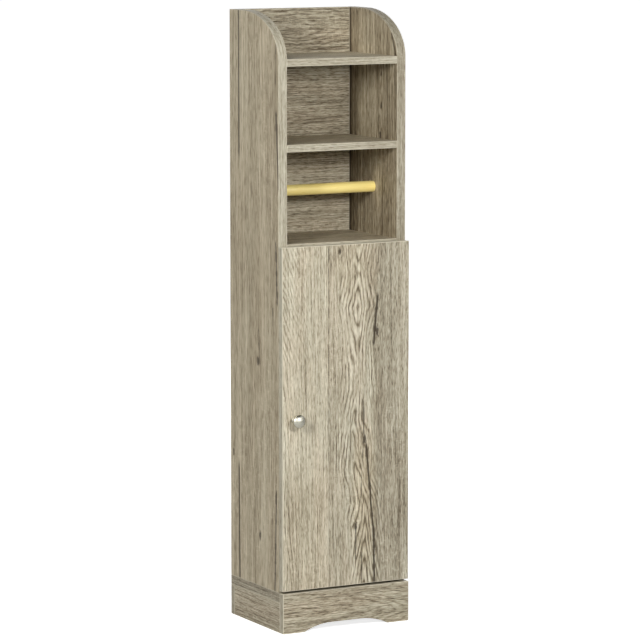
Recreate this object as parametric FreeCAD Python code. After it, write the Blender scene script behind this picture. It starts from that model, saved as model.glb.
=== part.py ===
import FreeCAD, Part
import math
import os

# A tall, narrow bathroom cabinet of decor board: open shelves and a roll bar above, a cupboard with one
# door below, and a plinth with a low arch. Sizes are in millimetres.
# The working frame has x = 0 in the middle of the carcass, y = 0 on the door's front face with +y towards
# the wall, and z = 0 on the floor. The finished part is moved so that its origin is the middle of its box
# at floor level.

Vec = FreeCAD.Vector
X_AXIS = Vec(1, 0, 0)
Y_AXIS = Vec(0, 1, 0)
Z_AXIS = Vec(0, 0, 1)

# Carcass boards
overall_width = 232.0
overall_height = 1000.0
carcass_depth = 172.0
side_thickness = 16.0
shelf_thickness = 12.0
back_thickness = 12.0
bottom_thickness = 16.0
top_corner_depth = 124.0
top_corner_height = 75.0
eased_edge = 0.5

# Clear heights of the open compartments, from the top down
top_compartment_height = 73.5
upper_niche_height = 124.5
roll_niche_height = 147.0

# Plinth
plinth_height = 50.0
plinth_thickness = 12.0
plinth_proud = 1.6
plinth_foot_width = 39.0
arch_flat_length = 54.0
arch_height = 12.0
corner_block_side = 22.0
corner_block_height = 30.0

# Door
door_thickness = 12.0
door_gap = 1.4
door_side_reveal = 0.1
door_bottom_gap = 3.5
door_top_reveal = 3.3

# Thin back of the cupboard, held in grooves
hardboard_thickness = 3.0
hardboard_inset = 5.0
groove_depth = 6.0
groove_play = 0.1
groove_end_play = 0.3

# Adjustable shelf in the cupboard and its pins
pin_shank_radius = 2.5
pin_shank_length = 8.0
pin_hole_depth = 9.0
pin_collar_radius = 3.8
pin_collar_thickness = 1.5
pin_post_radius = 3.0
pin_post_length = 8.0
pin_end_round = 0.6
pin_row_pitch = 64.0
pin_front_distance = 37.0
pin_back_distance = 39.0
cupboard_shelf_setback = 12.0
cupboard_shelf_back_gap = 3.0
cupboard_shelf_end_play = 0.5

# Roll bar
bar_radius = 9.0
bar_rise = 78.5
bar_socket_depth = 8.0
bar_running_play = 0.05
bar_end_play = 0.3
bar_end_ease = 0.8

# Door knob and its screw
knob_edge_distance = 22.0
knob_base_radius = 6.2
knob_base_height = 1.6
knob_neck_radius = 4.2
knob_neck_height = 8.0
knob_neck_hollow = 0.7
knob_flare_hollow = 1.0
knob_head_radius = 10.8
knob_head_back = 13.5
knob_head_front = 18.0
knob_projection = 22.5
knob_screw_radius = 2.0
knob_screw_head_radius = 4.0
knob_screw_head_height = 2.2
knob_screw_bite = 8.0

# Flush hinges
hinge_height = 50.0
hinge_end_distance = 75.0
hinge_barrel_radius = 2.0
hinge_barrel_play = 0.2
hinge_pin_radius = 1.2
hinge_pin_cap_radius = 1.8
hinge_pin_cap_height = 1.0
hinge_running_play = 0.05
hinge_leaf_setback = 1.5
hinge_leaf_play = 0.2
hinge_bridge_width = 2.5
hinge_door_knuckle = 20.0
hinge_knuckle_gap = 0.3
hinge_nest_play = 0.5
hinge_screw_radius = 1.3
hinge_screw_head_radius = 2.3
hinge_frame_screw_length = 15.0
hinge_door_screw_spread = 5.5

# Magnetic catch and its strike plate
catch_top_distance = 68.0
catch_width = 14.0
catch_depth = 15.0
catch_block_height = 30.0
catch_ear_height = 9.0
catch_ear_thickness = 4.0
catch_front_setback = 1.0
magnet_width = 8.0
magnet_depth = 9.0
magnet_height = 24.0
pole_plate_thickness = 1.2
pole_contact_gap = 0.1
strike_width = 13.0
strike_height = 34.0
strike_thickness = 1.2
catch_screw_radius = 1.5
catch_screw_head_radius = 2.8

# Door bumpers
bumper_radius = 4.0
bumper_end_distance = 25.0
bumper_play = 0.1

# Shelf fittings: cam lock, cam bolt and wood dowel
cam_radius = 6.0
cam_cover = 2.0
cam_end_distance = 24.0
cam_slot_width = 1.4
cam_slot_length = 8.0
cam_slot_depth = 2.0
cam_edge_distance = 30.0
bolt_thread_radius = 2.5
bolt_thread_length = 10.0
bolt_neck_radius = 1.8
bolt_head_radius = 3.0
bolt_head_length = 3.0
bolt_bore_play = 0.4
dowel_radius = 3.0
dowel_length = 30.0
dowel_short_bite = 8.0
dowel_end_ease = 0.8
plinth_dowel_end_distance = 45.0

# Wood screws, and the board that is left beyond the tip of one that goes into a board's face
screw_cover = 4.0
back_screw_radius = 1.75
back_screw_head_radius = 3.5
back_screw_length = 30.0
back_screw_end_distance = 39.0
base_screw_radius = 2.5
base_screw_head_radius = 4.5
base_screw_length = 50.0
base_screw_edge_distance = 36.0
block_screw_radius = 1.75
block_screw_head_radius = 3.5
block_screw_offset = 6.0
recess_width_share = 0.3
recess_depth_share = 0.35

# Places that follow from the sizes above
half_width = overall_width / 2
inner_half = half_width - side_thickness
door_back = door_thickness
carcass_front = door_back + door_gap
carcass_back = carcass_front + carcass_depth
back_inner = carcass_back - back_thickness
bottom_level = plinth_height + bottom_thickness
top_shelf_level = overall_height - top_compartment_height
middle_shelf_level = top_shelf_level - shelf_thickness - upper_niche_height
cupboard_top_level = middle_shelf_level - shelf_thickness - roll_niche_height
cupboard_ceiling = cupboard_top_level - shelf_thickness
bar_level = cupboard_top_level + bar_rise
pin_row_level = (bottom_level + cupboard_ceiling) / 2
shelf_middle_y = (carcass_front + back_inner) / 2
door_bottom = bottom_level + door_bottom_gap
door_top = cupboard_top_level - door_top_reveal
door_half_width = half_width - door_side_reveal
door_middle_z = (door_bottom + door_top) / 2
plinth_front = -plinth_proud
plinth_back = plinth_front + plinth_thickness
back_plinth_inner = carcass_back - plinth_thickness
side_plinth_inner = half_width - plinth_thickness
hinge_leaf_thickness = door_gap - hinge_leaf_play
hinge_leaf_width = side_thickness - hinge_leaf_setback
hinge_axis_x = half_width + hinge_barrel_radius + hinge_barrel_play
hinge_axis_y = door_back + door_gap / 2
hinge_overhang = hinge_axis_x + hinge_barrel_radius - half_width
hinge_levels = {"upper": door_top - hinge_end_distance, "lower": door_bottom + hinge_end_distance}
fixed_shelf_levels = {
    "top_shelf": top_shelf_level,
    "middle_shelf": middle_shelf_level,
    "cupboard_top": cupboard_top_level,
}
catch_level = door_top - catch_top_distance
cam_height = shelf_thickness - cam_cover
bolt_bore_radius = bolt_head_radius + bolt_bore_play
pin_columns = (carcass_front + pin_front_distance, carcass_back - pin_back_distance)
origin_shift = Vec(-hinge_overhang / 2, -(carcass_back - knob_projection) / 2, 0)


def block(low, high):
    """A plain box between two corners."""
    size = Vec(*high) - Vec(*low)
    return Part.makeBox(size.x, size.y, size.z, Vec(*low))


def board(low, high):
    """A board between two corners, with every edge eased."""
    plain = block(low, high)
    return plain.makeChamfer(eased_edge, plain.Edges)


def turned(profile, base, direction):
    """A solid of revolution from (radius, distance along the direction) points, standing on base."""
    points = [Vec(radius, 0, distance) for radius, distance in profile]
    face = Part.Face(Part.makePolygon(points + points[:1]))
    solid = face.revolve(Vec(0, 0, 0), Z_AXIS, 360)
    solid.Placement = FreeCAD.Placement(base, FreeCAD.Rotation(Z_AXIS, direction))
    return solid


def rod(radius, length, base, direction):
    """A plain cylinder."""
    return Part.makeCylinder(radius, length, base, direction)


def eased_rod(radius, length, ease, base, direction):
    """A cylinder whose two ends are eased."""
    eased = radius - ease
    near_end = [(0, 0), (eased, 0), (radius, ease)]
    far_end = [(radius, length - ease), (eased, length), (0, length)]
    return turned(near_end + far_end, base, direction)


def with_cross_recess(screw, base, direction, head_radius):
    """A screw with a cross recess in the head that is flush at base."""
    place = FreeCAD.Placement(base, FreeCAD.Rotation(Z_AXIS, direction))
    width = recess_width_share * head_radius
    depth = recess_depth_share * head_radius
    for along, across in ((head_radius, width), (width, head_radius)):
        arm = Part.makeBox(along, across, depth, Vec(-along / 2, -across / 2, 0))
        arm.Placement = place
        screw = screw.cut(arm)
    return screw


def wood_screw_form(base, direction, length, radius, head_radius):
    """The outer form of a countersunk, pointed wood screw whose head is flush at base."""
    head_height = head_radius - radius
    tip_start = length - 2 * radius
    profile = [(0, 0), (head_radius, 0), (radius, head_height), (radius, tip_start), (0, length)]
    return turned(profile, base, direction)


class ScrewSet:
    """A group of like wood screws, with the seats to cut from the pieces that they hold."""

    def __init__(self, radius, head_radius):
        self.radius = radius
        self.head_radius = head_radius
        self.solids = []
        self.seats = []

    def add(self, base, direction, length):
        form = wood_screw_form(base, direction, length, self.radius, self.head_radius)
        self.seats.append(form)
        self.solids.append(with_cross_recess(form, base, direction, self.head_radius))


def cut_all(shape, tools):
    """The shape less every tool."""
    return shape.cut(Part.makeCompound(tools))


def make_back_screws():
    """Screws from behind through the upper back panel into the rear edges of the fixed shelves."""
    screws = ScrewSet(back_screw_radius, back_screw_head_radius)
    for level in fixed_shelf_levels.values():
        for side in (-1, 1):
            x = side * (inner_half - back_screw_end_distance)
            base = Vec(x, carcass_back, level - shelf_thickness / 2)
            screws.add(base, -Y_AXIS, back_screw_length)
    return screws


def make_base_screws():
    """Screws from below through the bottom board into the side panels."""
    screws = ScrewSet(base_screw_radius, base_screw_head_radius)
    for side in (-1, 1):
        for y in (carcass_front + base_screw_edge_distance, carcass_back - base_screw_edge_distance):
            base = Vec(side * (half_width - side_thickness / 2), y, plinth_height)
            screws.add(base, Z_AXIS, base_screw_length)
    return screws


def corner_block_centre(side, end):
    """The middle of one plinth corner block in plan; side is -1 or 1, end is -1 in front and 1 behind."""
    x = side * (side_plinth_inner - corner_block_side / 2)
    inner_face = plinth_back if end < 0 else back_plinth_inner
    y = inner_face - end * corner_block_side / 2
    return x, y


def make_block_screws():
    """Screws from the plinth's corner blocks into the bottom board and the plinth boards."""
    screws = ScrewSet(block_screw_radius, block_screw_head_radius)
    floor_side = plinth_height - corner_block_height
    half = corner_block_side / 2
    upright_length = corner_block_height + bottom_thickness - screw_cover
    level_length = corner_block_side + plinth_thickness - screw_cover
    for side in (-1, 1):
        for end in (-1, 1):
            x, y = corner_block_centre(side, end)
            screws.add(Vec(x, y, floor_side), Z_AXIS, upright_length)
            low_z = floor_side + corner_block_height / 3
            high_z = floor_side + 2 * corner_block_height / 3
            into_end = Vec(x - side * block_screw_offset, y - end * half, low_z)
            screws.add(into_end, end * Y_AXIS, level_length)
            into_side = Vec(x - side * half, y - end * block_screw_offset, high_z)
            screws.add(into_side, side * X_AXIS, level_length)
    return screws


def make_shelf_fittings():
    """Cam bolts, cam locks and dowels of the fixed shelves, with the bores that the shelves need."""
    bolts = []
    cams = []
    dowels = []
    bores = []
    reach = bolt_thread_length + cam_end_distance + bolt_head_length / 2
    neck_end = reach - bolt_head_length
    bolt_profile = [
        (0, 0),
        (bolt_thread_radius, 0),
        (bolt_thread_radius, bolt_thread_length),
        (bolt_neck_radius, bolt_thread_length),
        (bolt_neck_radius, neck_end),
        (bolt_head_radius, neck_end),
        (bolt_head_radius, reach),
        (0, reach),
    ]
    for level in fixed_shelf_levels.values():
        underside = level - shelf_thickness
        middle = level - shelf_thickness / 2
        for side in (-1, 1):
            inward = -side * X_AXIS
            face_x = side * inner_half
            for y in (carcass_front + cam_edge_distance, back_inner - cam_edge_distance):
                mouth = Vec(face_x, y, middle)
                bolt = turned(bolt_profile, mouth - inward * bolt_thread_length, inward)
                bore = rod(bolt_bore_radius, cam_end_distance + bolt_head_length, mouth, inward)
                cam_base = mouth + inward * cam_end_distance
                cam_base.z = underside
                seat = rod(cam_radius, cam_height, cam_base, Z_AXIS)
                bolts.append(bolt)
                bores.extend([bore, seat])
                cams.append(cam_lock(seat, bore, cam_base))
            dowel_base = Vec(face_x, shelf_middle_y, middle) - inward * dowel_short_bite
            dowels.append(eased_rod(dowel_radius, dowel_length, dowel_end_ease, dowel_base, inward))
    return bolts, cams, dowels, bores


def cam_lock(seat, bore, base):
    """One cam: a round nut with a side mouth for the bolt's head and a cross slot in its lower face."""
    cam = seat.cut(bore)
    for along, across in ((cam_slot_length, cam_slot_width), (cam_slot_width, cam_slot_length)):
        corner = base - Vec(along / 2, across / 2, 0)
        cam = cam.cut(Part.makeBox(along, across, cam_slot_depth, corner))
    return cam


def make_plinth_dowels():
    """Dowels between the front plinth and the front edge of the bottom board."""
    dowels = []
    y = plinth_back - dowel_short_bite
    spread = half_width - plinth_dowel_end_distance
    for side in (-1, 1):
        base = Vec(side * spread, y, plinth_height + bottom_thickness / 2)
        dowels.append(eased_rod(dowel_radius, dowel_length, dowel_end_ease, base, Y_AXIS))
    return dowels


def make_shelf_pins():
    """The four pins under the adjustable shelf."""
    length = pin_shank_length + pin_collar_thickness + pin_post_length
    collar_end = pin_shank_length + pin_collar_thickness
    profile = [
        (0, 0),
        (pin_shank_radius, 0),
        (pin_shank_radius, pin_shank_length),
        (pin_collar_radius, pin_shank_length),
        (pin_collar_radius, collar_end),
        (pin_post_radius, collar_end),
        (pin_post_radius, length - pin_end_round),
        (pin_post_radius - pin_end_round, length),
        (0, length),
    ]
    pins = []
    for side in (-1, 1):
        for y in pin_columns:
            base = Vec(side * (inner_half + pin_shank_length), y, pin_row_level)
            pins.append(turned(profile, base, -side * X_AXIS))
    return pins


def pin_holes(side):
    """The rows of shelf pin holes in one side panel."""
    holes = []
    for row in (-1, 0, 1):
        for y in pin_columns:
            mouth = Vec(side * inner_half, y, pin_row_level + row * pin_row_pitch)
            holes.append(rod(pin_shank_radius, pin_hole_depth, mouth, side * X_AXIS))
    return holes


def side_panel(side):
    """One side panel with its quarter-oval top front corner, bar socket, pin holes and back groove."""
    x = half_width if side > 0 else -inner_half
    low_front = Vec(x, carcass_front, bottom_level)
    low_back = Vec(x, carcass_back, bottom_level)
    top_back = Vec(x, carcass_back, overall_height)
    oval_top = Vec(x, carcass_front + top_corner_depth, overall_height)
    oval_front = Vec(x, carcass_front, overall_height - top_corner_height)
    oval = Part.BezierCurve()
    oval.setPoles([oval_top, Vec(x, carcass_front, overall_height), oval_front])
    oval.setWeight(2, math.sqrt(0.5))
    edges = [
        Part.LineSegment(low_front, low_back).toShape(),
        Part.LineSegment(low_back, top_back).toShape(),
        Part.LineSegment(top_back, oval_top).toShape(),
        oval.toShape(),
        Part.LineSegment(oval_front, low_front).toShape(),
    ]
    panel = Part.Face(Part.Wire(edges)).extrude(-side_thickness * X_AXIS)
    panel = panel.makeChamfer(eased_edge, panel.Edges)
    socket_mouth = Vec(side * inner_half, shelf_middle_y, bar_level)
    socket = rod(bar_radius + bar_running_play, bar_socket_depth, socket_mouth, side * X_AXIS)
    groove_x = sorted((side * inner_half, side * (inner_half + groove_depth)))
    groove_back = carcass_back - hardboard_inset + groove_play
    groove_front = groove_back - hardboard_thickness - 2 * groove_play
    groove = block((groove_x[0], groove_front, bottom_level), (groove_x[1], groove_back, cupboard_ceiling))
    return cut_all(panel, [socket, groove] + pin_holes(side))


def front_plinth_board():
    """The front plinth with its low arch: two arcs that meet a flat crown."""
    plinth = board((-half_width, plinth_front, 0), (half_width, plinth_back, bottom_level))
    half_arch = half_width - plinth_foot_width
    flat = arch_flat_length / 2
    run = half_arch - flat
    end_radius = (run ** 2 + arch_height ** 2) / (2 * arch_height)
    half_turn = math.asin(run / end_radius) / 2
    mid_x = flat + end_radius * math.sin(half_turn)
    mid_z = arch_height - end_radius * (1 - math.cos(half_turn))
    left_foot = Vec(-half_arch, plinth_front, 0)
    right_foot = Vec(half_arch, plinth_front, 0)
    left_crown = Vec(-flat, plinth_front, arch_height)
    right_crown = Vec(flat, plinth_front, arch_height)
    edges = [
        Part.Arc(left_foot, Vec(-mid_x, plinth_front, mid_z), left_crown).toShape(),
        Part.LineSegment(left_crown, right_crown).toShape(),
        Part.Arc(right_crown, Vec(mid_x, plinth_front, mid_z), right_foot).toShape(),
        Part.LineSegment(right_foot, left_foot).toShape(),
    ]
    arch = Part.Face(Part.Wire(edges)).extrude(plinth_thickness * Y_AXIS)
    return plinth.cut(arch)


def hollow_arc(start, end, hollow):
    """An arc in the xz plane from start up to end, whose middle lies inside its chord by hollow."""
    chord = end - start
    inward = Vec(-chord.z, 0, chord.x).normalize()
    return Part.Arc(start, (start + end) * 0.5 + inward * hollow, end).toShape()


def knob_solid(place):
    """The mushroom knob, turned about its screw: base, neck, flared head and domed face."""
    base_edge = Vec(knob_base_radius, 0, knob_base_height)
    neck = Vec(knob_neck_radius, 0, knob_neck_height)
    head_back = Vec(knob_head_radius, 0, knob_head_back)
    head_front = Vec(knob_head_radius, 0, knob_head_front)
    crown = Vec(0, 0, knob_projection)
    dome_height = knob_projection - knob_head_front
    dome_radius = (knob_head_radius ** 2 + dome_height ** 2) / (2 * dome_height)
    half_turn = math.asin(knob_head_radius / dome_radius) / 2
    dome_x = dome_radius * math.sin(half_turn)
    dome_drop = dome_radius * (1 - math.cos(half_turn))
    dome = Vec(dome_x, 0, knob_projection - dome_drop)
    edges = [
        Part.LineSegment(Vec(0, 0, 0), Vec(knob_base_radius, 0, 0)).toShape(),
        Part.LineSegment(Vec(knob_base_radius, 0, 0), base_edge).toShape(),
        hollow_arc(base_edge, neck, knob_neck_hollow),
        hollow_arc(neck, head_back, knob_flare_hollow),
        Part.LineSegment(head_back, head_front).toShape(),
        Part.Arc(head_front, dome, crown).toShape(),
        Part.LineSegment(crown, Vec(0, 0, 0)).toShape(),
    ]
    knob = Part.Face(Part.Wire(edges)).revolve(Vec(0, 0, 0), Z_AXIS, 360)
    knob.Placement = FreeCAD.Placement(place, FreeCAD.Rotation(Z_AXIS, -Y_AXIS))
    return knob.cut(rod(knob_screw_radius, knob_screw_bite, place, -Y_AXIS))


def hinge_knuckle(low, high):
    """One plain knuckle on the hinge axis between two heights."""
    return rod(hinge_barrel_radius, high - low, Vec(hinge_axis_x, hinge_axis_y, low), Z_AXIS)


def hinge_bore(level, play):
    """The pin's bore through a whole hinge."""
    base = Vec(hinge_axis_x, hinge_axis_y, level - hinge_height / 2)
    return rod(hinge_pin_radius + play, hinge_height, base, Z_AXIS)


def frame_leaf(level):
    """The outer leaf on the side panel's front edge: two tabs and knuckles round the door leaf's window."""
    low = level - hinge_height / 2
    high = level + hinge_height / 2
    leaf_x = half_width - hinge_leaf_width
    front = carcass_front - hinge_leaf_thickness
    window_half = hinge_door_knuckle / 2 + hinge_knuckle_gap
    plate = block((leaf_x, front, low), (hinge_axis_x, carcass_front, high))
    window_low = (leaf_x + hinge_bridge_width, front, level - window_half)
    window_high = (hinge_axis_x, carcass_front, level + window_half)
    plate = plate.cut(block(window_low, window_high))
    plate = plate.fuse([hinge_knuckle(low, level - window_half), hinge_knuckle(level + window_half, high)])
    return plate.cut(hinge_bore(level, 0))


def door_leaf(level):
    """The inner leaf on the door's back face, which nests in the window of the outer leaf."""
    low = level - hinge_door_knuckle / 2
    high = level + hinge_door_knuckle / 2
    leaf_x = half_width - hinge_leaf_width + hinge_bridge_width + hinge_nest_play
    plate = block((leaf_x, door_back, low), (hinge_axis_x, door_back + hinge_leaf_thickness, high))
    return plate.fuse(hinge_knuckle(low, high)).cut(hinge_bore(level, hinge_running_play))


def hinge_pin(level):
    """The pin of one hinge, with a cap at each end of the barrel."""
    base = Vec(hinge_axis_x, hinge_axis_y, level - hinge_height / 2 - hinge_pin_cap_height)
    length = hinge_height + 2 * hinge_pin_cap_height
    shank_end = length - hinge_pin_cap_height
    profile = [
        (0, 0),
        (hinge_pin_radius, 0),
        (hinge_pin_cap_radius, hinge_pin_cap_height),
        (hinge_pin_radius, hinge_pin_cap_height),
        (hinge_pin_radius, shank_end),
        (hinge_pin_cap_radius, shank_end),
        (hinge_pin_radius, length),
        (0, length),
    ]
    return turned(profile, base, Z_AXIS)


def make_hinge_screws():
    """The screws of both hinges: frame leaves into the side panel, door leaves into the door."""
    frame_screws = ScrewSet(hinge_screw_radius, hinge_screw_head_radius)
    door_screws = ScrewSet(hinge_screw_radius, hinge_screw_head_radius)
    screw_x = half_width - hinge_leaf_width / 2
    frame_y = carcass_front - hinge_leaf_thickness
    door_y = door_back + hinge_leaf_thickness
    door_screw_length = door_y - screw_cover
    tab_middle = (hinge_height / 2 + hinge_door_knuckle / 2 + hinge_knuckle_gap) / 2
    for level in hinge_levels.values():
        for end in (-1, 1):
            frame_base = Vec(screw_x, frame_y, level + end * tab_middle)
            frame_screws.add(frame_base, Y_AXIS, hinge_frame_screw_length)
            door_base = Vec(screw_x, door_y, level + end * hinge_door_screw_spread)
            door_screws.add(door_base, -Y_AXIS, door_screw_length)
    return frame_screws, door_screws


def catch_housing_solid():
    """The catch's moulded block with an ear at each end and a pocket for the magnet and pole plates."""
    front = carcass_front + catch_front_setback
    wall_x = -inner_half
    half_block = catch_block_height / 2
    half_total = half_block + catch_ear_height
    ears = block(
        (wall_x, front, catch_level - half_total),
        (wall_x + catch_ear_thickness, front + catch_depth, catch_level + half_total),
    )
    body = block(
        (wall_x, front, catch_level - half_block),
        (wall_x + catch_width, front + catch_depth, catch_level + half_block),
    )
    pocket_half = magnet_width / 2 + pole_plate_thickness
    middle_x = wall_x + catch_width / 2
    pocket = block(
        (middle_x - pocket_half, front, catch_level - magnet_height / 2),
        (middle_x + pocket_half, front + magnet_depth, catch_level + magnet_height / 2),
    )
    return body.fuse(ears).removeSplitter().cut(pocket)


def catch_inner_pieces():
    """The magnet and its two pole plates, which stand out towards the strike plate."""
    front = carcass_front + catch_front_setback
    middle_x = -inner_half + catch_width / 2
    low_z = catch_level - magnet_height / 2
    high_z = catch_level + magnet_height / 2
    back = front + magnet_depth
    half_magnet = magnet_width / 2
    magnet = block((middle_x - half_magnet, front, low_z), (middle_x + half_magnet, back, high_z))
    plate_front = door_back + strike_thickness + pole_contact_gap
    plate_reach = half_magnet + pole_plate_thickness
    plates = []
    for side in (-1, 1):
        faces = sorted((middle_x + side * half_magnet, middle_x + side * plate_reach))
        plates.append(block((faces[0], plate_front, low_z), (faces[1], back, high_z)))
    return magnet, plates


def make_catch_screws():
    """The two screws of the catch and the one of the strike plate."""
    catch_screws = ScrewSet(catch_screw_radius, catch_screw_head_radius)
    strike_screws = ScrewSet(catch_screw_radius, catch_screw_head_radius)
    ear_middle = (catch_block_height + catch_ear_height) / 2
    catch_screw_length = catch_ear_thickness + side_thickness - screw_cover
    strike_screw_length = strike_thickness + door_thickness - screw_cover
    y = carcass_front + catch_front_setback + catch_depth / 2
    for end in (-1, 1):
        base = Vec(-inner_half + catch_ear_thickness, y, catch_level + end * ear_middle)
        catch_screws.add(base, -X_AXIS, catch_screw_length)
    strike_base = Vec(-inner_half + catch_width / 2, door_back + strike_thickness, catch_level)
    strike_screws.add(strike_base, -Y_AXIS, strike_screw_length)
    return catch_screws, strike_screws


def build_nodes():
    """Every piece of the cabinet by name, in the working frame."""
    back_screws = make_back_screws()
    base_screws = make_base_screws()
    block_screws = make_block_screws()
    frame_screws, door_screws = make_hinge_screws()
    catch_screws, strike_screws = make_catch_screws()
    bolts, cams, shelf_dowels, shelf_bores = make_shelf_fittings()
    plinth_dowels = make_plinth_dowels()
    nodes = {}

    # Carcass boards, each less the fasteners that go into it
    side_tools = bolts + shelf_dowels + base_screws.seats
    nodes["left_side_panel"] = cut_all(side_panel(-1), side_tools + catch_screws.seats)
    nodes["right_side_panel"] = cut_all(side_panel(1), side_tools + frame_screws.seats)
    for name, level in fixed_shelf_levels.items():
        low = (-inner_half, carcass_front, level - shelf_thickness)
        high = (inner_half, back_inner, level)
        nodes[name] = cut_all(board(low, high), shelf_bores + shelf_dowels + back_screws.seats)
    upper_low = (-inner_half, back_inner, cupboard_ceiling)
    upper_high = (inner_half, carcass_back, overall_height)
    nodes["upper_back_panel"] = cut_all(board(upper_low, upper_high), back_screws.seats)
    lower_half = inner_half + groove_depth - groove_end_play
    lower_back_face = carcass_back - hardboard_inset
    nodes["lower_back_panel"] = block(
        (-lower_half, lower_back_face - hardboard_thickness, bottom_level),
        (lower_half, lower_back_face, cupboard_ceiling),
    )
    bottom = board((-half_width, plinth_back, plinth_height), (half_width, carcass_back, bottom_level))
    nodes["bottom_board"] = cut_all(bottom, base_screws.seats + block_screws.seats + plinth_dowels)

    # Adjustable shelf on its pins
    shelf_half = inner_half - pin_collar_thickness - cupboard_shelf_end_play
    shelf_low = pin_row_level + pin_post_radius
    shelf_back = lower_back_face - hardboard_thickness - cupboard_shelf_back_gap
    nodes["cupboard_shelf"] = board(
        (-shelf_half, carcass_front + cupboard_shelf_setback, shelf_low),
        (shelf_half, shelf_back, shelf_low + shelf_thickness),
    )
    nodes["shelf_pins"] = Part.makeCompound(make_shelf_pins())

    # Plinth boards and their corner blocks
    nodes["front_plinth"] = cut_all(front_plinth_board(), plinth_dowels + block_screws.seats)
    for side, name in ((-1, "left"), (1, "right")):
        faces = sorted((side * half_width, side * side_plinth_inner))
        plinth = board((faces[0], plinth_back, 0), (faces[1], back_plinth_inner, plinth_height))
        nodes[name + "_plinth"] = cut_all(plinth, block_screws.seats)
        for end, place in ((-1, "front"), (1, "back")):
            x, y = corner_block_centre(side, end)
            half = corner_block_side / 2
            corner = block(
                (x - half, y - half, plinth_height - corner_block_height),
                (x + half, y + half, plinth_height),
            )
            nodes[place + "_" + name + "_corner_block"] = cut_all(corner, block_screws.seats)
    back_plinth = board((-half_width, back_plinth_inner, 0), (half_width, carcass_back, plinth_height))
    nodes["back_plinth"] = cut_all(back_plinth, block_screws.seats)

    # Fasteners of the carcass
    nodes["cam_bolts"] = Part.makeCompound(bolts)
    nodes["cam_locks"] = Part.makeCompound(cams)
    nodes["wood_dowels"] = Part.makeCompound(shelf_dowels + plinth_dowels)
    nodes["back_panel_screws"] = Part.makeCompound(back_screws.solids)
    nodes["base_screws"] = Part.makeCompound(base_screws.solids)
    nodes["corner_block_screws"] = Part.makeCompound(block_screws.solids)

    # Roll bar
    bar_half = inner_half + bar_socket_depth - bar_end_play
    bar_base = Vec(-bar_half, shelf_middle_y, bar_level)
    nodes["roll_bar"] = eased_rod(bar_radius, 2 * bar_half, bar_end_ease, bar_base, X_AXIS)

    # Door with its knob
    knob_place = Vec(-(half_width - knob_edge_distance), 0, door_middle_z)
    knob_screw_base = knob_place + door_back * Y_AXIS
    knob_screw_length = door_thickness + knob_screw_bite
    knob_profile = [
        (0, 0),
        (knob_screw_head_radius, 0),
        (knob_screw_radius, knob_screw_head_height),
        (knob_screw_radius, knob_screw_length),
        (0, knob_screw_length),
    ]
    knob_seat = turned(knob_profile, knob_screw_base, -Y_AXIS)
    door = board((-door_half_width, 0, door_bottom), (door_half_width, door_back, door_top))
    nodes["door_panel"] = cut_all(door, [knob_seat] + door_screws.seats + strike_screws.seats)
    nodes["door_knob"] = knob_solid(knob_place)
    nodes["knob_screw"] = with_cross_recess(knob_seat, knob_screw_base, -Y_AXIS, knob_screw_head_radius)
    bumpers = []
    for z in (door_bottom + bumper_end_distance, door_top - bumper_end_distance):
        base = Vec(-(half_width - side_thickness / 2), door_back, z)
        bumpers.append(rod(bumper_radius, door_gap - bumper_play, base, Y_AXIS))
    nodes["door_bumpers"] = Part.makeCompound(bumpers)

    # Hinges
    for name, level in hinge_levels.items():
        nodes[name + "_hinge_frame_leaf"] = cut_all(frame_leaf(level), frame_screws.seats)
        nodes[name + "_hinge_door_leaf"] = cut_all(door_leaf(level), door_screws.seats)
        nodes[name + "_hinge_pin"] = hinge_pin(level)
    nodes["frame_leaf_screws"] = Part.makeCompound(frame_screws.solids)
    nodes["door_leaf_screws"] = Part.makeCompound(door_screws.solids)

    # Magnetic catch and strike plate
    nodes["catch_housing"] = cut_all(catch_housing_solid(), catch_screws.seats)
    magnet, pole_plates = catch_inner_pieces()
    nodes["catch_magnet"] = magnet
    nodes["catch_pole_plates"] = Part.makeCompound(pole_plates)
    nodes["catch_screws"] = Part.makeCompound(catch_screws.solids)
    strike_x = -inner_half + catch_width / 2
    strike = block(
        (strike_x - strike_width / 2, door_back, catch_level - strike_height / 2),
        (strike_x + strike_width / 2, door_back + strike_thickness, catch_level + strike_height / 2),
    )
    nodes["strike_plate"] = cut_all(strike, strike_screws.seats)
    nodes["strike_screw"] = Part.makeCompound(strike_screws.solids)
    return nodes


os.makedirs("parts", exist_ok=True)
for node_name, node_shape in build_nodes().items():
    node_shape.translated(origin_shift).exportStep("parts/" + node_name + ".step")
    print(node_name, len(node_shape.Solids), round(node_shape.Volume, 1), node_shape.isValid())
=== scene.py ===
# %% [markdown]
# A narrow bathroom cabinet, dressed for its portrait. The joiner's model already says where every board,
# hinge and screw is, so this lesson only gives the pieces their eased edges, their printed oak finish and
# good light. Everything is in metres, and the front of the cabinet looks along -Y.

# %% Load the cabinet as a fixed frame
import math

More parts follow.
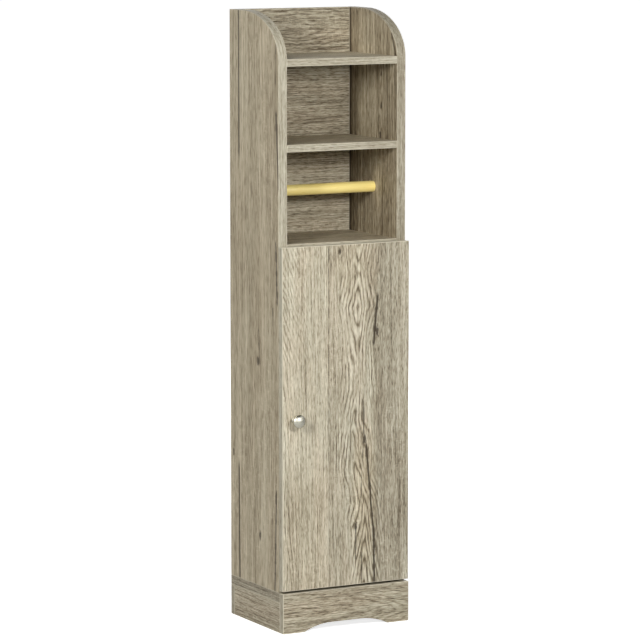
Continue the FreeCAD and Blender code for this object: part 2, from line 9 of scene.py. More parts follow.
import bmesh
import bpy
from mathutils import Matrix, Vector


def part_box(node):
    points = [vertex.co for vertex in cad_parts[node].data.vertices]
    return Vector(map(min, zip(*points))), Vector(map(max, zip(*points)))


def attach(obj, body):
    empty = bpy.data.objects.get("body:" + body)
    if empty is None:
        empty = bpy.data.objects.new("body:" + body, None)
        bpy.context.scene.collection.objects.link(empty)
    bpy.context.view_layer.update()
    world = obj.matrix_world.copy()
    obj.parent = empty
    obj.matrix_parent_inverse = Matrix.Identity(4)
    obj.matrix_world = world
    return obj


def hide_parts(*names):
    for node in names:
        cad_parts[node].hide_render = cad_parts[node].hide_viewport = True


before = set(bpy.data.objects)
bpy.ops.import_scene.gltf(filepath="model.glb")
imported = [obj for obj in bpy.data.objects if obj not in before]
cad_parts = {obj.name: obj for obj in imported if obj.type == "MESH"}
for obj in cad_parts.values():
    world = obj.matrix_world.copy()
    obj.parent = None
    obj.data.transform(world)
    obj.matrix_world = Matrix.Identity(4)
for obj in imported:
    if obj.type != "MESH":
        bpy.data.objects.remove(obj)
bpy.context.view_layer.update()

# %% [markdown]
# Every finish below is a small network of nodes. Clicking them together by hand is the usual way, but in a
# script a few short helpers keep the networks readable: put() adds one node, calc() and vec() do sums,
# noise() gives a stretched cloud, which is the raw material of wood grain, and swing() centres such a cloud
# on zero.

# %% Helpers for node networks
def put(tree, kind, inputs=None, **settings):
    """Adds a node; an input is filled with a value, or linked when the value is another node's output."""
    node = tree.nodes.new(kind)
    for name, value in settings.items():
        setattr(node, name, value)
    for key, value in (inputs or {}).items():
        if isinstance(value, bpy.types.NodeSocket):
            tree.links.new(value, node.inputs[key])
        else:
            node.inputs[key].default_value = value
    return node


def calc(tree, operation, *values):
    """One sum on plain numbers."""
    return put(tree, "ShaderNodeMath", dict(enumerate(values)), operation=operation).outputs[0]


def hypot(tree, a, b):
    """The long side of a right-angled triangle."""
    return calc(tree, "SQRT", calc(tree, "MULTIPLY_ADD", a, a, calc(tree, "MULTIPLY", b, b)))


def vec(tree, operation, *values):
    """One sum on vectors; a length or a dot product comes out as a number."""
    node = put(tree, "ShaderNodeVectorMath", dict(enumerate(values)), operation=operation)
    return node.outputs["Value" if operation in ("LENGTH", "DOT_PRODUCT") else "Vector"]


def xyz(tree, x=0.0, y=0.0, z=0.0):
    """A vector made of three numbers."""
    return put(tree, "ShaderNodeCombineXYZ", {0: x, 1: y, 2: z}).outputs[0]


def split(tree, vector):
    """The x, y and z of a vector."""
    return put(tree, "ShaderNodeSeparateXYZ", {0: vector}).outputs


def noise(tree, place, stretch, detail=2.0, roughness=0.55):
    """A cloud from 0 to 1 whose cells are 1/stretch metres long on each axis."""
    spot = vec(tree, "MULTIPLY", place, stretch)
    settings = {"Vector": spot, "Scale": 1.0, "Detail": detail, "Roughness": roughness}
    return put(tree, "ShaderNodeTexNoise", settings).outputs[0]


def swing(tree, cloud, width):
    """A cloud moved to swing about zero, half the width to either side."""
    return calc(tree, "MULTIPLY_ADD", cloud, width, -width / 2)


def ease(tree, value, start, end):
    """Rises softly from 0 to 1 while the value goes from start to end; start may be the larger."""
    inputs = {"Value": value, "From Min": start, "From Max": end}
    return put(tree, "ShaderNodeMapRange", inputs, interpolation_type="SMOOTHSTEP").outputs[0]


def mix(tree, factor, first, second, blend="MIX"):
    """Two colours mixed by a factor."""
    inputs = {0: factor, 6: first, 7: second}
    return put(tree, "ShaderNodeMix", inputs, data_type="RGBA", blend_type=blend).outputs[2]


def ramp(tree, factor, stops):
    """A colour that follows the factor through (position, colour) stops."""
    node = put(tree, "ShaderNodeValToRGB", {0: factor})
    elements = node.color_ramp.elements
    while len(elements) < len(stops):
        elements.new(1.0)
    for element, (place, colour) in zip(elements, sorted(stops)):
        element.position, element.color = place, (*colour, 1.0)
    return node.outputs[0]


FLOAT, VECTOR, COLOUR = "NodeSocketFloat", "NodeSocketVector", "NodeSocketColor"


def shader_group(name, inputs, outputs):
    """An empty shader group; gives the tree, its input values and its output sockets."""
    tree = bpy.data.node_groups.new(name, "ShaderNodeTree")
    for label, kind, default in inputs:
        tree.interface.new_socket(label, in_out="INPUT", socket_type=kind).default_value = default
    for label, kind in outputs:
        tree.interface.new_socket(label, in_out="OUTPUT", socket_type=kind)
    given = tree.nodes.new("NodeGroupInput").outputs
    result = tree.nodes.new("NodeGroupOutput").inputs
    return tree, given, result


def use(tree, group, **inputs):
    """Places a shader group in a material or in another group."""
    named = {key.replace("_", " "): value for key, value in inputs.items()}
    return put(tree, "ShaderNodeGroup", named, node_tree=group).outputs


print("node helpers ready")

# %% [markdown]
# The boards are chipboard with a printed paper of washed oak. Real oak has growth lines that show as light
# and dark streaks, short dashes where its open pores are cut, and pale flecks across the grain. The print
# has them all. A photo texture could show them, but stretched noise costs nothing, never repeats and has no
# edges. In this group x and y run across the grain and z runs along it, so each cloud is squeezed across
# and stretched along. Its three numbers say how many of its cells go to a metre on each axis.

# %% Shader group: the washed oak print
oak_print, given, result = shader_group(
    "oak_print",
    [("Place", VECTOR, (0, 0, 0)), ("Cream", FLOAT, 0.0), ("Rings", FLOAT, 0.0), ("Contrast", FLOAT, 1.0),
     ("Grey", FLOAT, 0.0)],
    [("Color", COLOUR), ("Roughness", FLOAT), ("Height", FLOAT)])
t = oak_print
sway = swing(t, noise(t, given["Place"], (7, 7, 1.6)), 0.016)
wobble = swing(t, noise(t, given["Place"], (95, 95, 12)), 0.0014)
grain = vec(t, "ADD", given["Place"], xyz(t, calc(t, "ADD", sway, wobble)))
patches = noise(t, given["Place"], (30, 30, 6.5), 3.0)
streaks = noise(t, grain, (190, 190, 4.5), 3.0)
lines = noise(t, grain, (600, 600, 6.5), 2.0)
speckle = noise(t, grain, (680, 680, 65), 2.0)
fibres = noise(t, grain, (1900, 1900, 80), 1.0)
pores = ease(t, noise(t, grain, (640, 640, 80), 1.0), 0.55, 0.68)
ray_zone = ease(t, noise(t, given["Place"], (13, 13, 5)), 0.50, 0.62)
flecks = calc(t, "MULTIPLY", ease(t, noise(t, grain, (120, 120, 240)), 0.54, 0.66), ray_zone)
middle_tone = 0.56
tone = swing(t, patches, 0.34)
for layer, weight in ((streaks, 0.55), (lines, 1.05), (speckle, 0.90), (fibres, 0.35)):
    tone = calc(t, "ADD", tone, swing(t, layer, weight))
for layer, weight in ((given["Rings"], 0.42), (pores, -0.22), (flecks, 0.10)):
    tone = calc(t, "MULTIPLY_ADD", layer, weight, tone)
tone = calc(t, "MULTIPLY_ADD", tone, given["Contrast"], calc(t, "ADD", given["Cream"], middle_tone))
printed = ramp(t, tone, [
    (0.0, (0.118, 0.090, 0.055)), (0.28, (0.280, 0.234, 0.160)), (0.52, (0.457, 0.402, 0.292)),
    (0.76, (0.610, 0.555, 0.425)), (1.0, (0.76, 0.71, 0.57))])
cool_patch, warm_patch = (0.985, 1.0, 1.0, 1), (1.018, 0.997, 0.985, 1)
grey_tint, brown_tint = (0.955, 1.0, 1.05, 1), (1.03, 0.99, 0.92, 1)
tint = mix(t, ease(t, noise(t, given["Place"], (26, 26, 4)), 0.35, 0.65), cool_patch, warm_patch)
tint = mix(t, given["Grey"], tint, grey_tint)
tint = mix(t, calc(t, "MULTIPLY", given["Grey"], -1.0), tint, brown_tint)
t.links.new(mix(t, 1.0, printed, tint, "MULTIPLY"), result["Color"])
t.links.new(calc(t, "MULTIPLY_ADD", lines, -0.16, 0.62), result["Roughness"])
relief = calc(t, "MULTIPLY_ADD", pores, -0.9, calc(t, "ADD", streaks, lines))
t.links.new(relief, result["Height"])
print("oak print has", len(t.nodes), "nodes")

# %% [markdown]
# Where a log is sawn flat, its growth rings come out as arches and long loops, the cathedral of a plank.
# The count of rings is a hill over the board, and each whole number of it is one line. Across the plank the
# count rises with the distance from the heart line. Along the plank it follows a ladder of heights: where
# the ladder climbs, the lines are arches that point up, and where it falls again, they are loops that point
# down. A cosine of the count draws the lines, and a power makes them thin and dark on one side and pale on
# the other.

# %% Shader group: growth rings
growth_rings, given, result = shader_group(
    "growth_rings",
    [("Place", VECTOR, (0, 0, 0)), ("Heart x", FLOAT, 0.0), ("Ladder", FLOAT, 0.0), ("Across", FLOAT, 150.0),
     ("Roundness", FLOAT, 0.006), ("Reach", FLOAT, 0.045), ("Unrest", FLOAT, 0.9)],
    [("Rings", FLOAT)])
t = growth_rings
x = split(t, given["Place"])[0]
drift = swing(t, noise(t, given["Place"], (34, 34, 10), 3.0), 0.016)
dx = calc(t, "ADD", calc(t, "SUBTRACT", x, given["Heart x"]), drift)
radius = hypot(t, dx, given["Roundness"])
count = calc(t, "MULTIPLY_ADD", radius, given["Across"], given["Ladder"])
ripple = calc(t, "SUBTRACT", noise(t, given["Place"], (70, 70, 16), 3.0), 0.5)
count = calc(t, "MULTIPLY_ADD", ripple, given["Unrest"], count)
wave = calc(t, "MULTIPLY_ADD", calc(t, "COSINE", calc(t, "MULTIPLY", count, math.tau)), 0.5, 0.5)
dark = calc(t, "POWER", wave, 5.0)
pale = calc(t, "POWER", calc(t, "SUBTRACT", 1.0, wave), 2.0)
line = calc(t, "SUBTRACT", calc(t, "MULTIPLY", pale, 0.6), dark)
fade = ease(t, calc(t, "ABSOLUTE", dx), given["Reach"], calc(t, "MULTIPLY", given["Reach"], 0.3))
patchy = ease(t, noise(t, given["Place"], (75, 75, 16), 3.0), 0.30, 0.62)
t.links.new(calc(t, "MULTIPLY", line, calc(t, "MULTIPLY", fade, patchy)), result["Rings"])


def ladder(tree, height, rungs):
    """A number that goes in straight steps through (height, value) rungs."""
    value = rungs[0][1]
    for (low, start), (high, end) in zip(rungs, rungs[1:]):
        inputs = {"Value": height, "From Min": low, "From Max": high, "To Min": 0.0, "To Max": end - start}
        value = calc(tree, "ADD", put(tree, "ShaderNodeMapRange", inputs).outputs[0], value)
    return value


print("growth rings have", len(t.nodes), "nodes")

# %% [markdown]
# A knot is the root of a branch: a small dark eye that pushes the grain aside. So this group gives two
# things, the dark eye as a mask, and the place of each point after the push, which then feeds the grain and
# the rings.

# %% Shader group: a knot
knot, given, result = shader_group(
    "knot", [("Place", VECTOR, (0, 0, 0)), ("Centre", VECTOR, (0, 0, 0)), ("Size", FLOAT, 0.003)],
    [("Place", VECTOR), ("Dark", FLOAT)])
t = knot
eye_slimness, push_wide, push_tall, push_share = 0.42, 3.4, 10.0, 0.72
dx, _, dz = split(t, vec(t, "SUBTRACT", given["Place"], given["Centre"]))
ragged = swing(t, noise(t, given["Place"], (420, 420, 130)), 1.2)
oval = hypot(t, dx, calc(t, "MULTIPLY", dz, eye_slimness))
eye = calc(t, "ADD", calc(t, "DIVIDE", oval, given["Size"]), ragged)
t.links.new(ease(t, eye, 1.0, 0.45), result["Dark"])
wide = calc(t, "DIVIDE", dx, calc(t, "MULTIPLY", given["Size"], push_wide))
tall = calc(t, "DIVIDE", dz, calc(t, "MULTIPLY", given["Size"], push_tall))
far = calc(t, "MULTIPLY_ADD", wide, wide, calc(t, "MULTIPLY", tall, tall))
nearness = calc(t, "EXPONENT", calc(t, "MULTIPLY", far, -1.0))
push = calc(t, "MULTIPLY", dx, calc(t, "MULTIPLY", nearness, -push_share))
t.links.new(vec(t, "ADD", given["Place"], xyz(t, push)), result["Place"])
print("knot has", len(t.nodes), "nodes")

# %% [markdown]
# Dry oak checks: fine dark cracks that follow the grain, wander a little and run out at both ends. The
# printed seam between two planks is the same thing, only straighter and as long as the board, and so is a
# painted shade line in the corner where two boards meet. One group draws all three: a line from a low point
# to a high point, whose width swells and shrinks with a noise along its length, or stays steady.

# %% Shader group: a crack, a plank seam or a painted shade line
crack_and_shade_line, given, result = shader_group(
    "crack_and_shade_line",
    [("Place", VECTOR, (0, 0, 0)), ("Low", VECTOR, (0, 0, 0)), ("High", VECTOR, (0, 0, 1)),
     ("Width", FLOAT, 0.001), ("Wander", FLOAT, 0.003), ("Steady", FLOAT, 0.0)],
    [("Dark", FLOAT)])
t = crack_and_shade_line
x, _, z = split(t, given["Place"])
low_x, _, low_z = split(t, given["Low"])
high_x, _, high_z = split(t, given["High"])
run = calc(t, "DIVIDE", calc(t, "SUBTRACT", z, low_z), calc(t, "SUBTRACT", high_z, low_z))
slant = calc(t, "MULTIPLY_ADD", calc(t, "SUBTRACT", high_x, low_x), run, low_x)
bend = calc(t, "SUBTRACT", noise(t, given["Place"], (3, 3, 26), 3.0), 0.5)
middle = calc(t, "MULTIPLY_ADD", bend, given["Wander"], slant)
offset = calc(t, "ABSOLUTE", calc(t, "SUBTRACT", x, middle))
ends = calc(t, "MULTIPLY", ease(t, run, 0.0, 0.1), ease(t, run, 1.0, 0.9))
swelling = ease(t, noise(t, given["Place"], (2, 2, 60), 2.0), 0.30, 0.66)
uneven = calc(t, "MAXIMUM", swelling, given["Steady"])
width = calc(t, "MULTIPLY", given["Width"], calc(t, "MULTIPLY", uneven, ends))
line = ease(t, offset, width, calc(t, "MULTIPLY", width, 0.2))
t.links.new(calc(t, "MULTIPLY", line, ends), result["Dark"])
print("crack has", len(t.nodes), "nodes")

# %% [markdown]
# Printed boards wear pale along their edges first, and there the edge strip shows as a fine cream line. The
# same pale line also paints the highlight that light draws along an eased edge, so it is wear and painted
# highlight together. The distance from a point of a board to its nearest edge is the second smallest of its
# distances to the box's faces, because the smallest is the face that the point lies on. At the side panels'
# round corner it is the distance to a quarter of an oval instead, which is close to the step left to the
# oval, divided by how steeply that step changes.

# %% Shader group: pale edges, worn and with a painted highlight
rubbed_edge, given, result = shader_group(
    "rubbed_edge",
    [("Place", VECTOR, (0, 0, 0)), ("Low", VECTOR, (0, 0, 0)), ("High", VECTOR, (1, 1, 1)),
     ("Corner depth", FLOAT, 0.0), ("Corner height", FLOAT, 0.0), ("Width", FLOAT, 0.0017)],
    [("Worn_and_highlit", FLOAT)])
t = rubbed_edge
from_low = vec(t, "SUBTRACT", given["Place"], given["Low"])
from_high = vec(t, "SUBTRACT", given["High"], given["Place"])
side_x, side_y, side_z = split(t, vec(t, "MINIMUM", from_low, from_high))
front = calc(t, "SUBTRACT", given["Corner depth"], split(t, from_low)[1])
top = calc(t, "SUBTRACT", given["Corner height"], split(t, from_high)[2])
in_corner = calc(t, "MULTIPLY", calc(t, "GREATER_THAN", front, 0.0), calc(t, "GREATER_THAN", top, 0.0))
u = calc(t, "DIVIDE", front, given["Corner depth"])
v = calc(t, "DIVIDE", top, given["Corner height"])
reach = hypot(t, u, v)
steep_u = calc(t, "DIVIDE", u, given["Corner depth"])
steep_v = calc(t, "DIVIDE", v, given["Corner height"])
steepness = hypot(t, steep_u, steep_v)
step_left = calc(t, "MULTIPLY", calc(t, "SUBTRACT", 1.0, reach), reach)
to_oval = calc(t, "DIVIDE", step_left, steepness)
elsewhere = calc(t, "SUBTRACT", 1.0, in_corner)
side_y = calc(t, "MULTIPLY_ADD", side_y, elsewhere, calc(t, "MULTIPLY", to_oval, in_corner))
side_z = calc(t, "ADD", side_z, in_corner)
small = calc(t, "MINIMUM", side_x, side_y)
large = calc(t, "MAXIMUM", side_x, side_y)
second = calc(t, "MAXIMUM", small, calc(t, "MINIMUM", large, side_z))
uneven_width = calc(t, "MULTIPLY_ADD", noise(t, given["Place"], (90, 90, 90), 3.0), 0.8, 0.6)
width = calc(t, "MULTIPLY", given["Width"], uneven_width)
worn_and_highlit = ease(t, second, width, calc(t, "MULTIPLY", width, 0.3))
t.links.new(worn_and_highlit, result["Worn_and_highlit"])
print("rubbed edge has", len(t.nodes), "nodes")

# %% [markdown]
# Three small tools for the finishes come first. A new material starts with its shader and the Object
# coordinates, which stay with the board when it moves. A Bump node turns a height into small dents and
# ridges. And the Normal tells a board's two broad faces from its narrow edges. The four turns are for the
# print: they say which way the grain runs.

# %% Start of a material
quarter = math.pi / 2
upright, facing_side, level, front_to_back = (0, 0, 0), (0, 0, -quarter), (0, -quarter, 0), (quarter, 0, 0)


def principled(name):
    """A material, its tree, its shader and its Object coordinates."""
    material = bpy.data.materials.new(name)
    material.use_nodes = True
    tree = material.node_tree
    shader = tree.nodes["Principled BSDF"]
    place = put(tree, "ShaderNodeTexCoord").outputs["Object"]
    return material, tree, shader, place


def emboss(tree, shader, height, strength, distance):
    """Turns a height into small dents and ridges."""
    inputs = {"Height": height, "Strength": strength, "Distance": distance}
    tree.links.new(put(tree, "ShaderNodeBump", inputs).outputs[0], shader.inputs["Normal"])


def on_broad_face(tree, thin):
    """1 on the two broad faces of a board, 0 on its edges; thin is the axis of its thickness."""
    normal = put(tree, "ShaderNodeTexCoord").outputs["Normal"]
    return calc(tree, "GREATER_THAN", calc(tree, "ABSOLUTE", vec(tree, "DOT_PRODUCT", normal, thin)), 0.6)


print("grain runs four ways:", upright, facing_side, level, front_to_back)

# %% [markdown]
# Now one recipe for every printed board. The Mapping node turns the print so that its z runs along the
# board's own grain: up the sides and the door, along the shelves, the back and the plinth. A shift through
# the thickness picks another slice of the same noise, so no two boards look alike. The narrow edges carry a
# glued strip whose grain runs along the edge, so there the place is made anew: across is the board's
# thickness, and along is the sum of the other two, which grows steadily even round the sides' oval corner.
#
# A board's own look is a list of small changes. Planks are soft steps of tone across the board; on the right
# side one of them is a band of painted shade. Layers are steps through its thickness, so that its two faces
# can differ, there a darker inner face as painted shade. Stains are soft oval patches, on the right side
# patches of painted light. Grey cools the print, and below zero it browns it. Rub says how pale the edges
# are, from wear and a painted highlight together.

# %% Recipe for a printed board
# The dark colour serves knots, cracks and a painted shade line; the pale one serves edges pale from wear and
# a painted highlight.
dark_heart_and_shade, knot_strength = (0.055, 0.040, 0.025, 1), 0.9
pale_rub_and_highlight = (0.70, 0.650, 0.510, 1)
strip_contrast, strip_grey, strip_slice = 0.8, 0.7, 0.37
print_gloss, pore_strength, pore_depth = 0.3, 0.25, 0.0003


def soft_steps(tree, value, start, steps):
    """A number that changes softly wherever the value passes a (place, softness, change) step."""
    for place, softness, change in steps:
        passed = ease(tree, value, place - softness, place + softness)
        start = calc(tree, "MULTIPLY_ADD", passed, change, start)
    return start


def soft_patch(tree, across, along, x, z, wide, tall):
    """1 in the middle of an oval patch, 0 from its rim on."""
    u = calc(tree, "MULTIPLY_ADD", across, 1 / wide, -x / wide)
    v = calc(tree, "MULTIPLY_ADD", along, 1 / tall, -z / tall)
    return ease(tree, hypot(tree, u, v), 1.0, 0.3)


def decor_and_painted_light(node, turn, slice_shift, cream=0.0, strip_cream=0.0, contrast=1.0, fineness=1.0, rub_and_highlight=0.5, rings=(),
          knots=(), cracks_and_shade_lines=(), planks_and_painted_shade=(), painted_shade_layers=(), grey=(), stains_and_painted_light=(), corner=(0.0, 0.0)):
    """The washed oak print on one board, with pale edges of wear and painted highlight, and any painted shade
    and light its lists ask for.
    """
    material, tree, shader, place = principled(node + "_decor")
    low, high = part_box(node)
    size = high - low
    thin = Vector([1.0 if size[i] == min(size) else 0.0 for i in range(3)])
    face = on_broad_face(tree, thin)
    mapping = {"Vector": place, "Location": (0, slice_shift, 0), "Rotation": turn}
    straight = wood = put(tree, "ShaderNodeMapping", mapping).outputs[0]
    marks = []
    for x, z, eye_size in knots:
        eye = use(tree, knot, Place=wood, Centre=(x, 0, z), Size=eye_size)
        wood = eye["Place"]
        marks.append((eye["Dark"], knot_strength))
    for low_end, high_end, width, wander, steady, strength in cracks_and_shade_lines:
        ends = {"Low": (low_end[0], 0, low_end[1]), "High": (high_end[0], 0, high_end[1])}
        line = use(tree, crack_and_shade_line, Place=straight, Width=width, Wander=wander, Steady=steady, **ends)["Dark"]
        marks.append((line, strength))
    across, _, along = split(tree, wood)
    depth = vec(tree, "DOT_PRODUCT", place, thin)
    ring_sum = 0.0
    for heart, steps, settings, strength in rings:
        settings = dict(settings, Heart_x=ladder(tree, along, heart), Ladder=ladder(tree, along, steps))
        lines = use(tree, growth_rings, Place=wood, **settings)["Rings"]
        ring_sum = calc(tree, "MULTIPLY_ADD", lines, strength, ring_sum)
    tone = soft_steps(tree, across, cream - strip_cream, planks_and_painted_shade)
    tone = soft_steps(tree, depth, tone, painted_shade_layers)
    greyness = soft_steps(tree, across, 0.0, grey)
    for x, z, wide, tall, change, grey_change in stains_and_painted_light:
        stain_or_light_patch = soft_patch(tree, across, along, x, z, wide, tall)
        tone = calc(tree, "MULTIPLY_ADD", stain_or_light_patch, change, tone)
        greyness = calc(tree, "MULTIPLY_ADD", stain_or_light_patch, grey_change, greyness)
    tone = calc(tree, "MULTIPLY_ADD", tone, face, strip_cream)
    greyness = calc(tree, "MULTIPLY_ADD", calc(tree, "SUBTRACT", greyness, strip_grey), face, strip_grey)
    liveliness = calc(tree, "MULTIPLY_ADD", face, contrast - strip_contrast, strip_contrast)
    along_edge = vec(tree, "DOT_PRODUCT", place, Vector((1, 1, 1)) - thin)
    strip = xyz(tree, depth, slice_shift + strip_slice, along_edge)
    spread = vec(tree, "MULTIPLY", wood, (fineness, 1, fineness))
    covered = put(tree, "ShaderNodeMix", {0: face, 4: strip, 5: spread}, data_type="VECTOR").outputs[1]
    oak = use(tree, oak_print, Place=covered, Cream=tone, Rings=calc(tree, "MULTIPLY", ring_sum, face),
              Contrast=liveliness, Grey=greyness)
    colour = oak["Color"]
    for mark, strength in marks:
        shown = calc(tree, "MULTIPLY", calc(tree, "MULTIPLY", mark, face), strength)
        colour = mix(tree, shown, colour, dark_heart_and_shade)
    # The pale edge line is wear and a painted highlight together.
    worn_and_highlit = use(tree, rubbed_edge, Place=place, Low=tuple(low), High=tuple(high), Corner_depth=corner[0],
               Corner_height=corner[1])["Worn_and_highlit"]
    colour = mix(tree, calc(tree, "MULTIPLY", worn_and_highlit, rub_and_highlight), colour, pale_rub_and_highlight)
    tree.links.new(colour, shader.inputs["Base Color"])
    tree.links.new(oak["Roughness"], shader.inputs["Roughness"])
    shader.inputs["Specular IOR Level"].default_value = print_gloss
    emboss(tree, shader, oak["Height"], pore_strength, pore_depth)
    return material


print("decor recipe ready")

# %% [markdown]
# The door shows the whole story of the print: a creamy plank on the left whose rings lean across its upper
# corner, a seam, and a wilder plank on the right with a cathedral, knots and long dark checks. Lengths are
# measured on the door itself, x across from the middle and z up from the floor. Rings take the heart's x at
# some heights, the ladder of counts, the settings and the strength. A knot is x, z and size. A crack is its
# low and its high end, then width, wander, steadiness and strength. A stain is x, z, width and height, then
# its change of tone and of grey.

# %% Print of the door
door_cathedral = (
    [(0.070, 0.0300), (0.204, 0.0305), (0.260, 0.0160), (0.340, 0.0117), (0.392, 0.0190), (0.468, 0.0169),
     (0.630, 0.022)],
    [(0.067, -4.0), (0.204, 0.0), (0.316, 2.0), (0.340, 3.0), (0.392, 4.0), (0.430, 4.5), (0.468, 4.0),
     (0.525, 2.2), (0.580, 4.0), (0.640, 1.8)],
    {"Across": 165.0, "Roundness": 0.005, "Reach": 0.046, "Unrest": 1.3}, 1.0)
door_leaning_lines = (
    [(0.0, -0.160), (1.0, -0.160)],
    [(0.070, 0.0), (0.440, 4.0), (0.520, 9.0), (0.640, 17.0)],
    {"Across": 160.0, "Roundness": 0.010, "Reach": 0.110, "Unrest": 0.9}, 0.6)
door_seam = [((-0.0338, 0.250), (-0.0346, 0.660), 0.0017, 0.001, 0.25, 0.60),
             ((-0.0334, 0.040), (-0.0338, 0.290), 0.0015, 0.001, 0.20, 0.35)]
door_checks = [((0.0478, 0.4560), (0.0560, 0.5480), 0.0052, 0.002, 0.60, 1.0),
               ((0.0580, 0.4730), (0.0500, 0.4900), 0.0022, 0.001, 0.70, 0.80),
               ((0.0512, 0.0400), (0.0485, 0.1700), 0.0042, 0.003, 0.65, 1.0),
               ((0.0490, 0.1500), (0.0335, 0.3100), 0.0040, 0.004, 0.65, 0.98),
               ((0.0312, 0.3000), (0.0288, 0.3760), 0.0028, 0.003, 0.45, 0.80),
               ((0.0235, 0.1900), (0.0300, 0.3140), 0.0019, 0.004, 0.35, 0.70),
               ((0.0152, 0.1060), (0.0159, 0.1720), 0.0025, 0.003, 0.45, 0.80),
               ((0.0272, 0.0300), (0.0266, 0.1280), 0.0030, 0.003, 0.45, 0.75)]
prints_and_painted_light = {"door_panel": decor_and_painted_light(
    "door_panel", upright, 0.31, cream=0.10, strip_cream=0.05, contrast=1.12, fineness=1.25, rub_and_highlight=0.75,
    rings=[door_cathedral, door_leaning_lines],
    knots=[(0.0547, 0.4847, 0.0036), (0.0317, 0.3081, 0.0042), (0.0158, 0.1655, 0.0036),
           (-0.0136, 0.6165, 0.0026)],
    cracks_and_shade_lines=door_seam + door_checks,
    # These steps leave the door darker to the right of its seam, most of all between x 0.05 and 0.08.
    planks_and_painted_shade=[(-0.034, 0.0006, -0.14), (-0.008, 0.012, 0.09), (0.032, 0.012, -0.10), (0.050, 0.006, -0.08),
            (0.080, 0.020, 0.05), (0.101, 0.003, 0.06)],
    grey=[(-0.034, 0.001, 0.15), (0.056, 0.006, 0.35)],
    # The stains darken the door in five soft patches, three of them low down.
    stains_and_painted_light=[(0.031, 0.200, 0.030, 0.170, -0.10, -0.8), (0.098, 0.200, 0.030, 0.200, -0.06, 0.0),
            (-0.080, 0.150, 0.060, 0.200, -0.07, -0.2), (0.010, 0.600, 0.050, 0.090, -0.06, -0.4),
            (-0.080, 0.580, 0.060, 0.130, -0.06, 0.0)])}
print("door print has", len(prints_and_painted_light["door_panel"].node_tree.nodes), "nodes")

# %% [markdown]
# Both sides are browner than the door. The left one shows its outer face: three knots, a seam near its back
# edge in two stretches, and several checks, most of them near the front edge. The right one shows its inner
# face: three small knots, a painted shade line in the corner with the back, a short check, a band of painted
# shade along its back part, and two patches of painted light above the roll niche. That inner face is also
# printed darker than the outer one, as painted shade for the niches. Here x runs across the grain too, which
# on a side is from front to back.

# %% Prints of the two sides
corner_depth, corner_height = 0.124, 0.075
brown_all_over = [(-1.0, 0.1, -0.6)]
side_look = {"fineness": 0.75, "rub_and_highlight": 0.2, "corner": (corner_depth, corner_height), "grey": brown_all_over}
left_seam = [((0.0709, 0.740), (0.0711, 1.060), 0.0036, 0.001, 0.90, 0.95),
             ((0.0714, 0.030), (0.0736, 0.272), 0.0038, 0.001, 0.95, 0.98)]
left_checks = [((-0.0690, 0.710), (-0.0600, 0.850), 0.0056, 0.001, 0.70, 0.90),
               ((-0.0598, 0.932), (-0.0612, 0.960), 0.0022, 0.001, 0.60, 0.80),
               ((-0.0642, 0.526), (-0.0582, 0.642), 0.0044, 0.001, 0.60, 0.95),
               ((-0.0480, 0.496), (-0.0482, 0.530), 0.0028, 0.001, 0.50, 0.70),
               ((-0.0010, 0.425), (0.0024, 0.492), 0.0028, 0.002, 0.30, 0.70),
               ((-0.0532, 0.030), (-0.0602, 0.245), 0.0046, 0.002, 0.65, 0.92)]
prints_and_painted_light["left_side_panel"] = decor_and_painted_light(
    "left_side_panel", facing_side, 0.0, cream=-0.085, strip_cream=-0.03, contrast=0.8, **side_look,
    knots=[(0.0041, 0.4346, 0.0042), (0.0930, 0.2733, 0.0034), (-0.0022, 0.1490, 0.0044)],
    cracks_and_shade_lines=left_seam + left_checks,
    planks_and_painted_shade=[(-0.026, 0.005, 0.09), (-0.002, 0.006, -0.08), (0.040, 0.006, 0.07), (0.075, 0.003, -0.03)])
prints_and_painted_light["right_side_panel"] = decor_and_painted_light(
    "right_side_panel", facing_side, 0.77, cream=-0.250, strip_cream=-0.13, contrast=1.15, **side_look,
    knots=[(-0.0153, 0.8441, 0.0036), (-0.0151, 0.8955, 0.0028), (-0.0128, 0.7954, 0.0036)],
    # The first line is a painted shade line in the corner with the back panel, not a check.
    cracks_and_shade_lines=[((0.0895, 0.575), (0.0895, 1.060), 0.0042, 0.0, 1.00, 0.85),
            ((-0.0655, 0.922), (-0.0480, 0.966), 0.0075, 0.004, 0.50, 0.85)],
    # The plank step paints shade on the back part, the layer keeps the inner face darker as painted shade,
    # and the two stains are painted light.
    planks_and_painted_shade=[(0.070, 0.020, -0.21)], painted_shade_layers=[(0.106, 0.002, 0.18)],
    stains_and_painted_light=[(0.020, 0.960, 0.140, 0.060, 0.14, 0.0), (0.022, 0.845, 0.085, 0.070, 0.13, 0.0)])
print("side prints have", [len(prints_and_painted_light[node].node_tree.nodes) for node in prints_and_painted_light if "side" in node], "nodes")

# %% [markdown]
# Little is seen of most other boards, so they only need their own slice of the print. The front plinth and
# the upper back panel also get a quiet cathedral that lies down, because their grain is level. Across the
# grain of a level board x runs downwards, and the back panel gets two soft steps of tone at the heights of
# the two shelves, so that each of its three parts is a little paler than the one above.

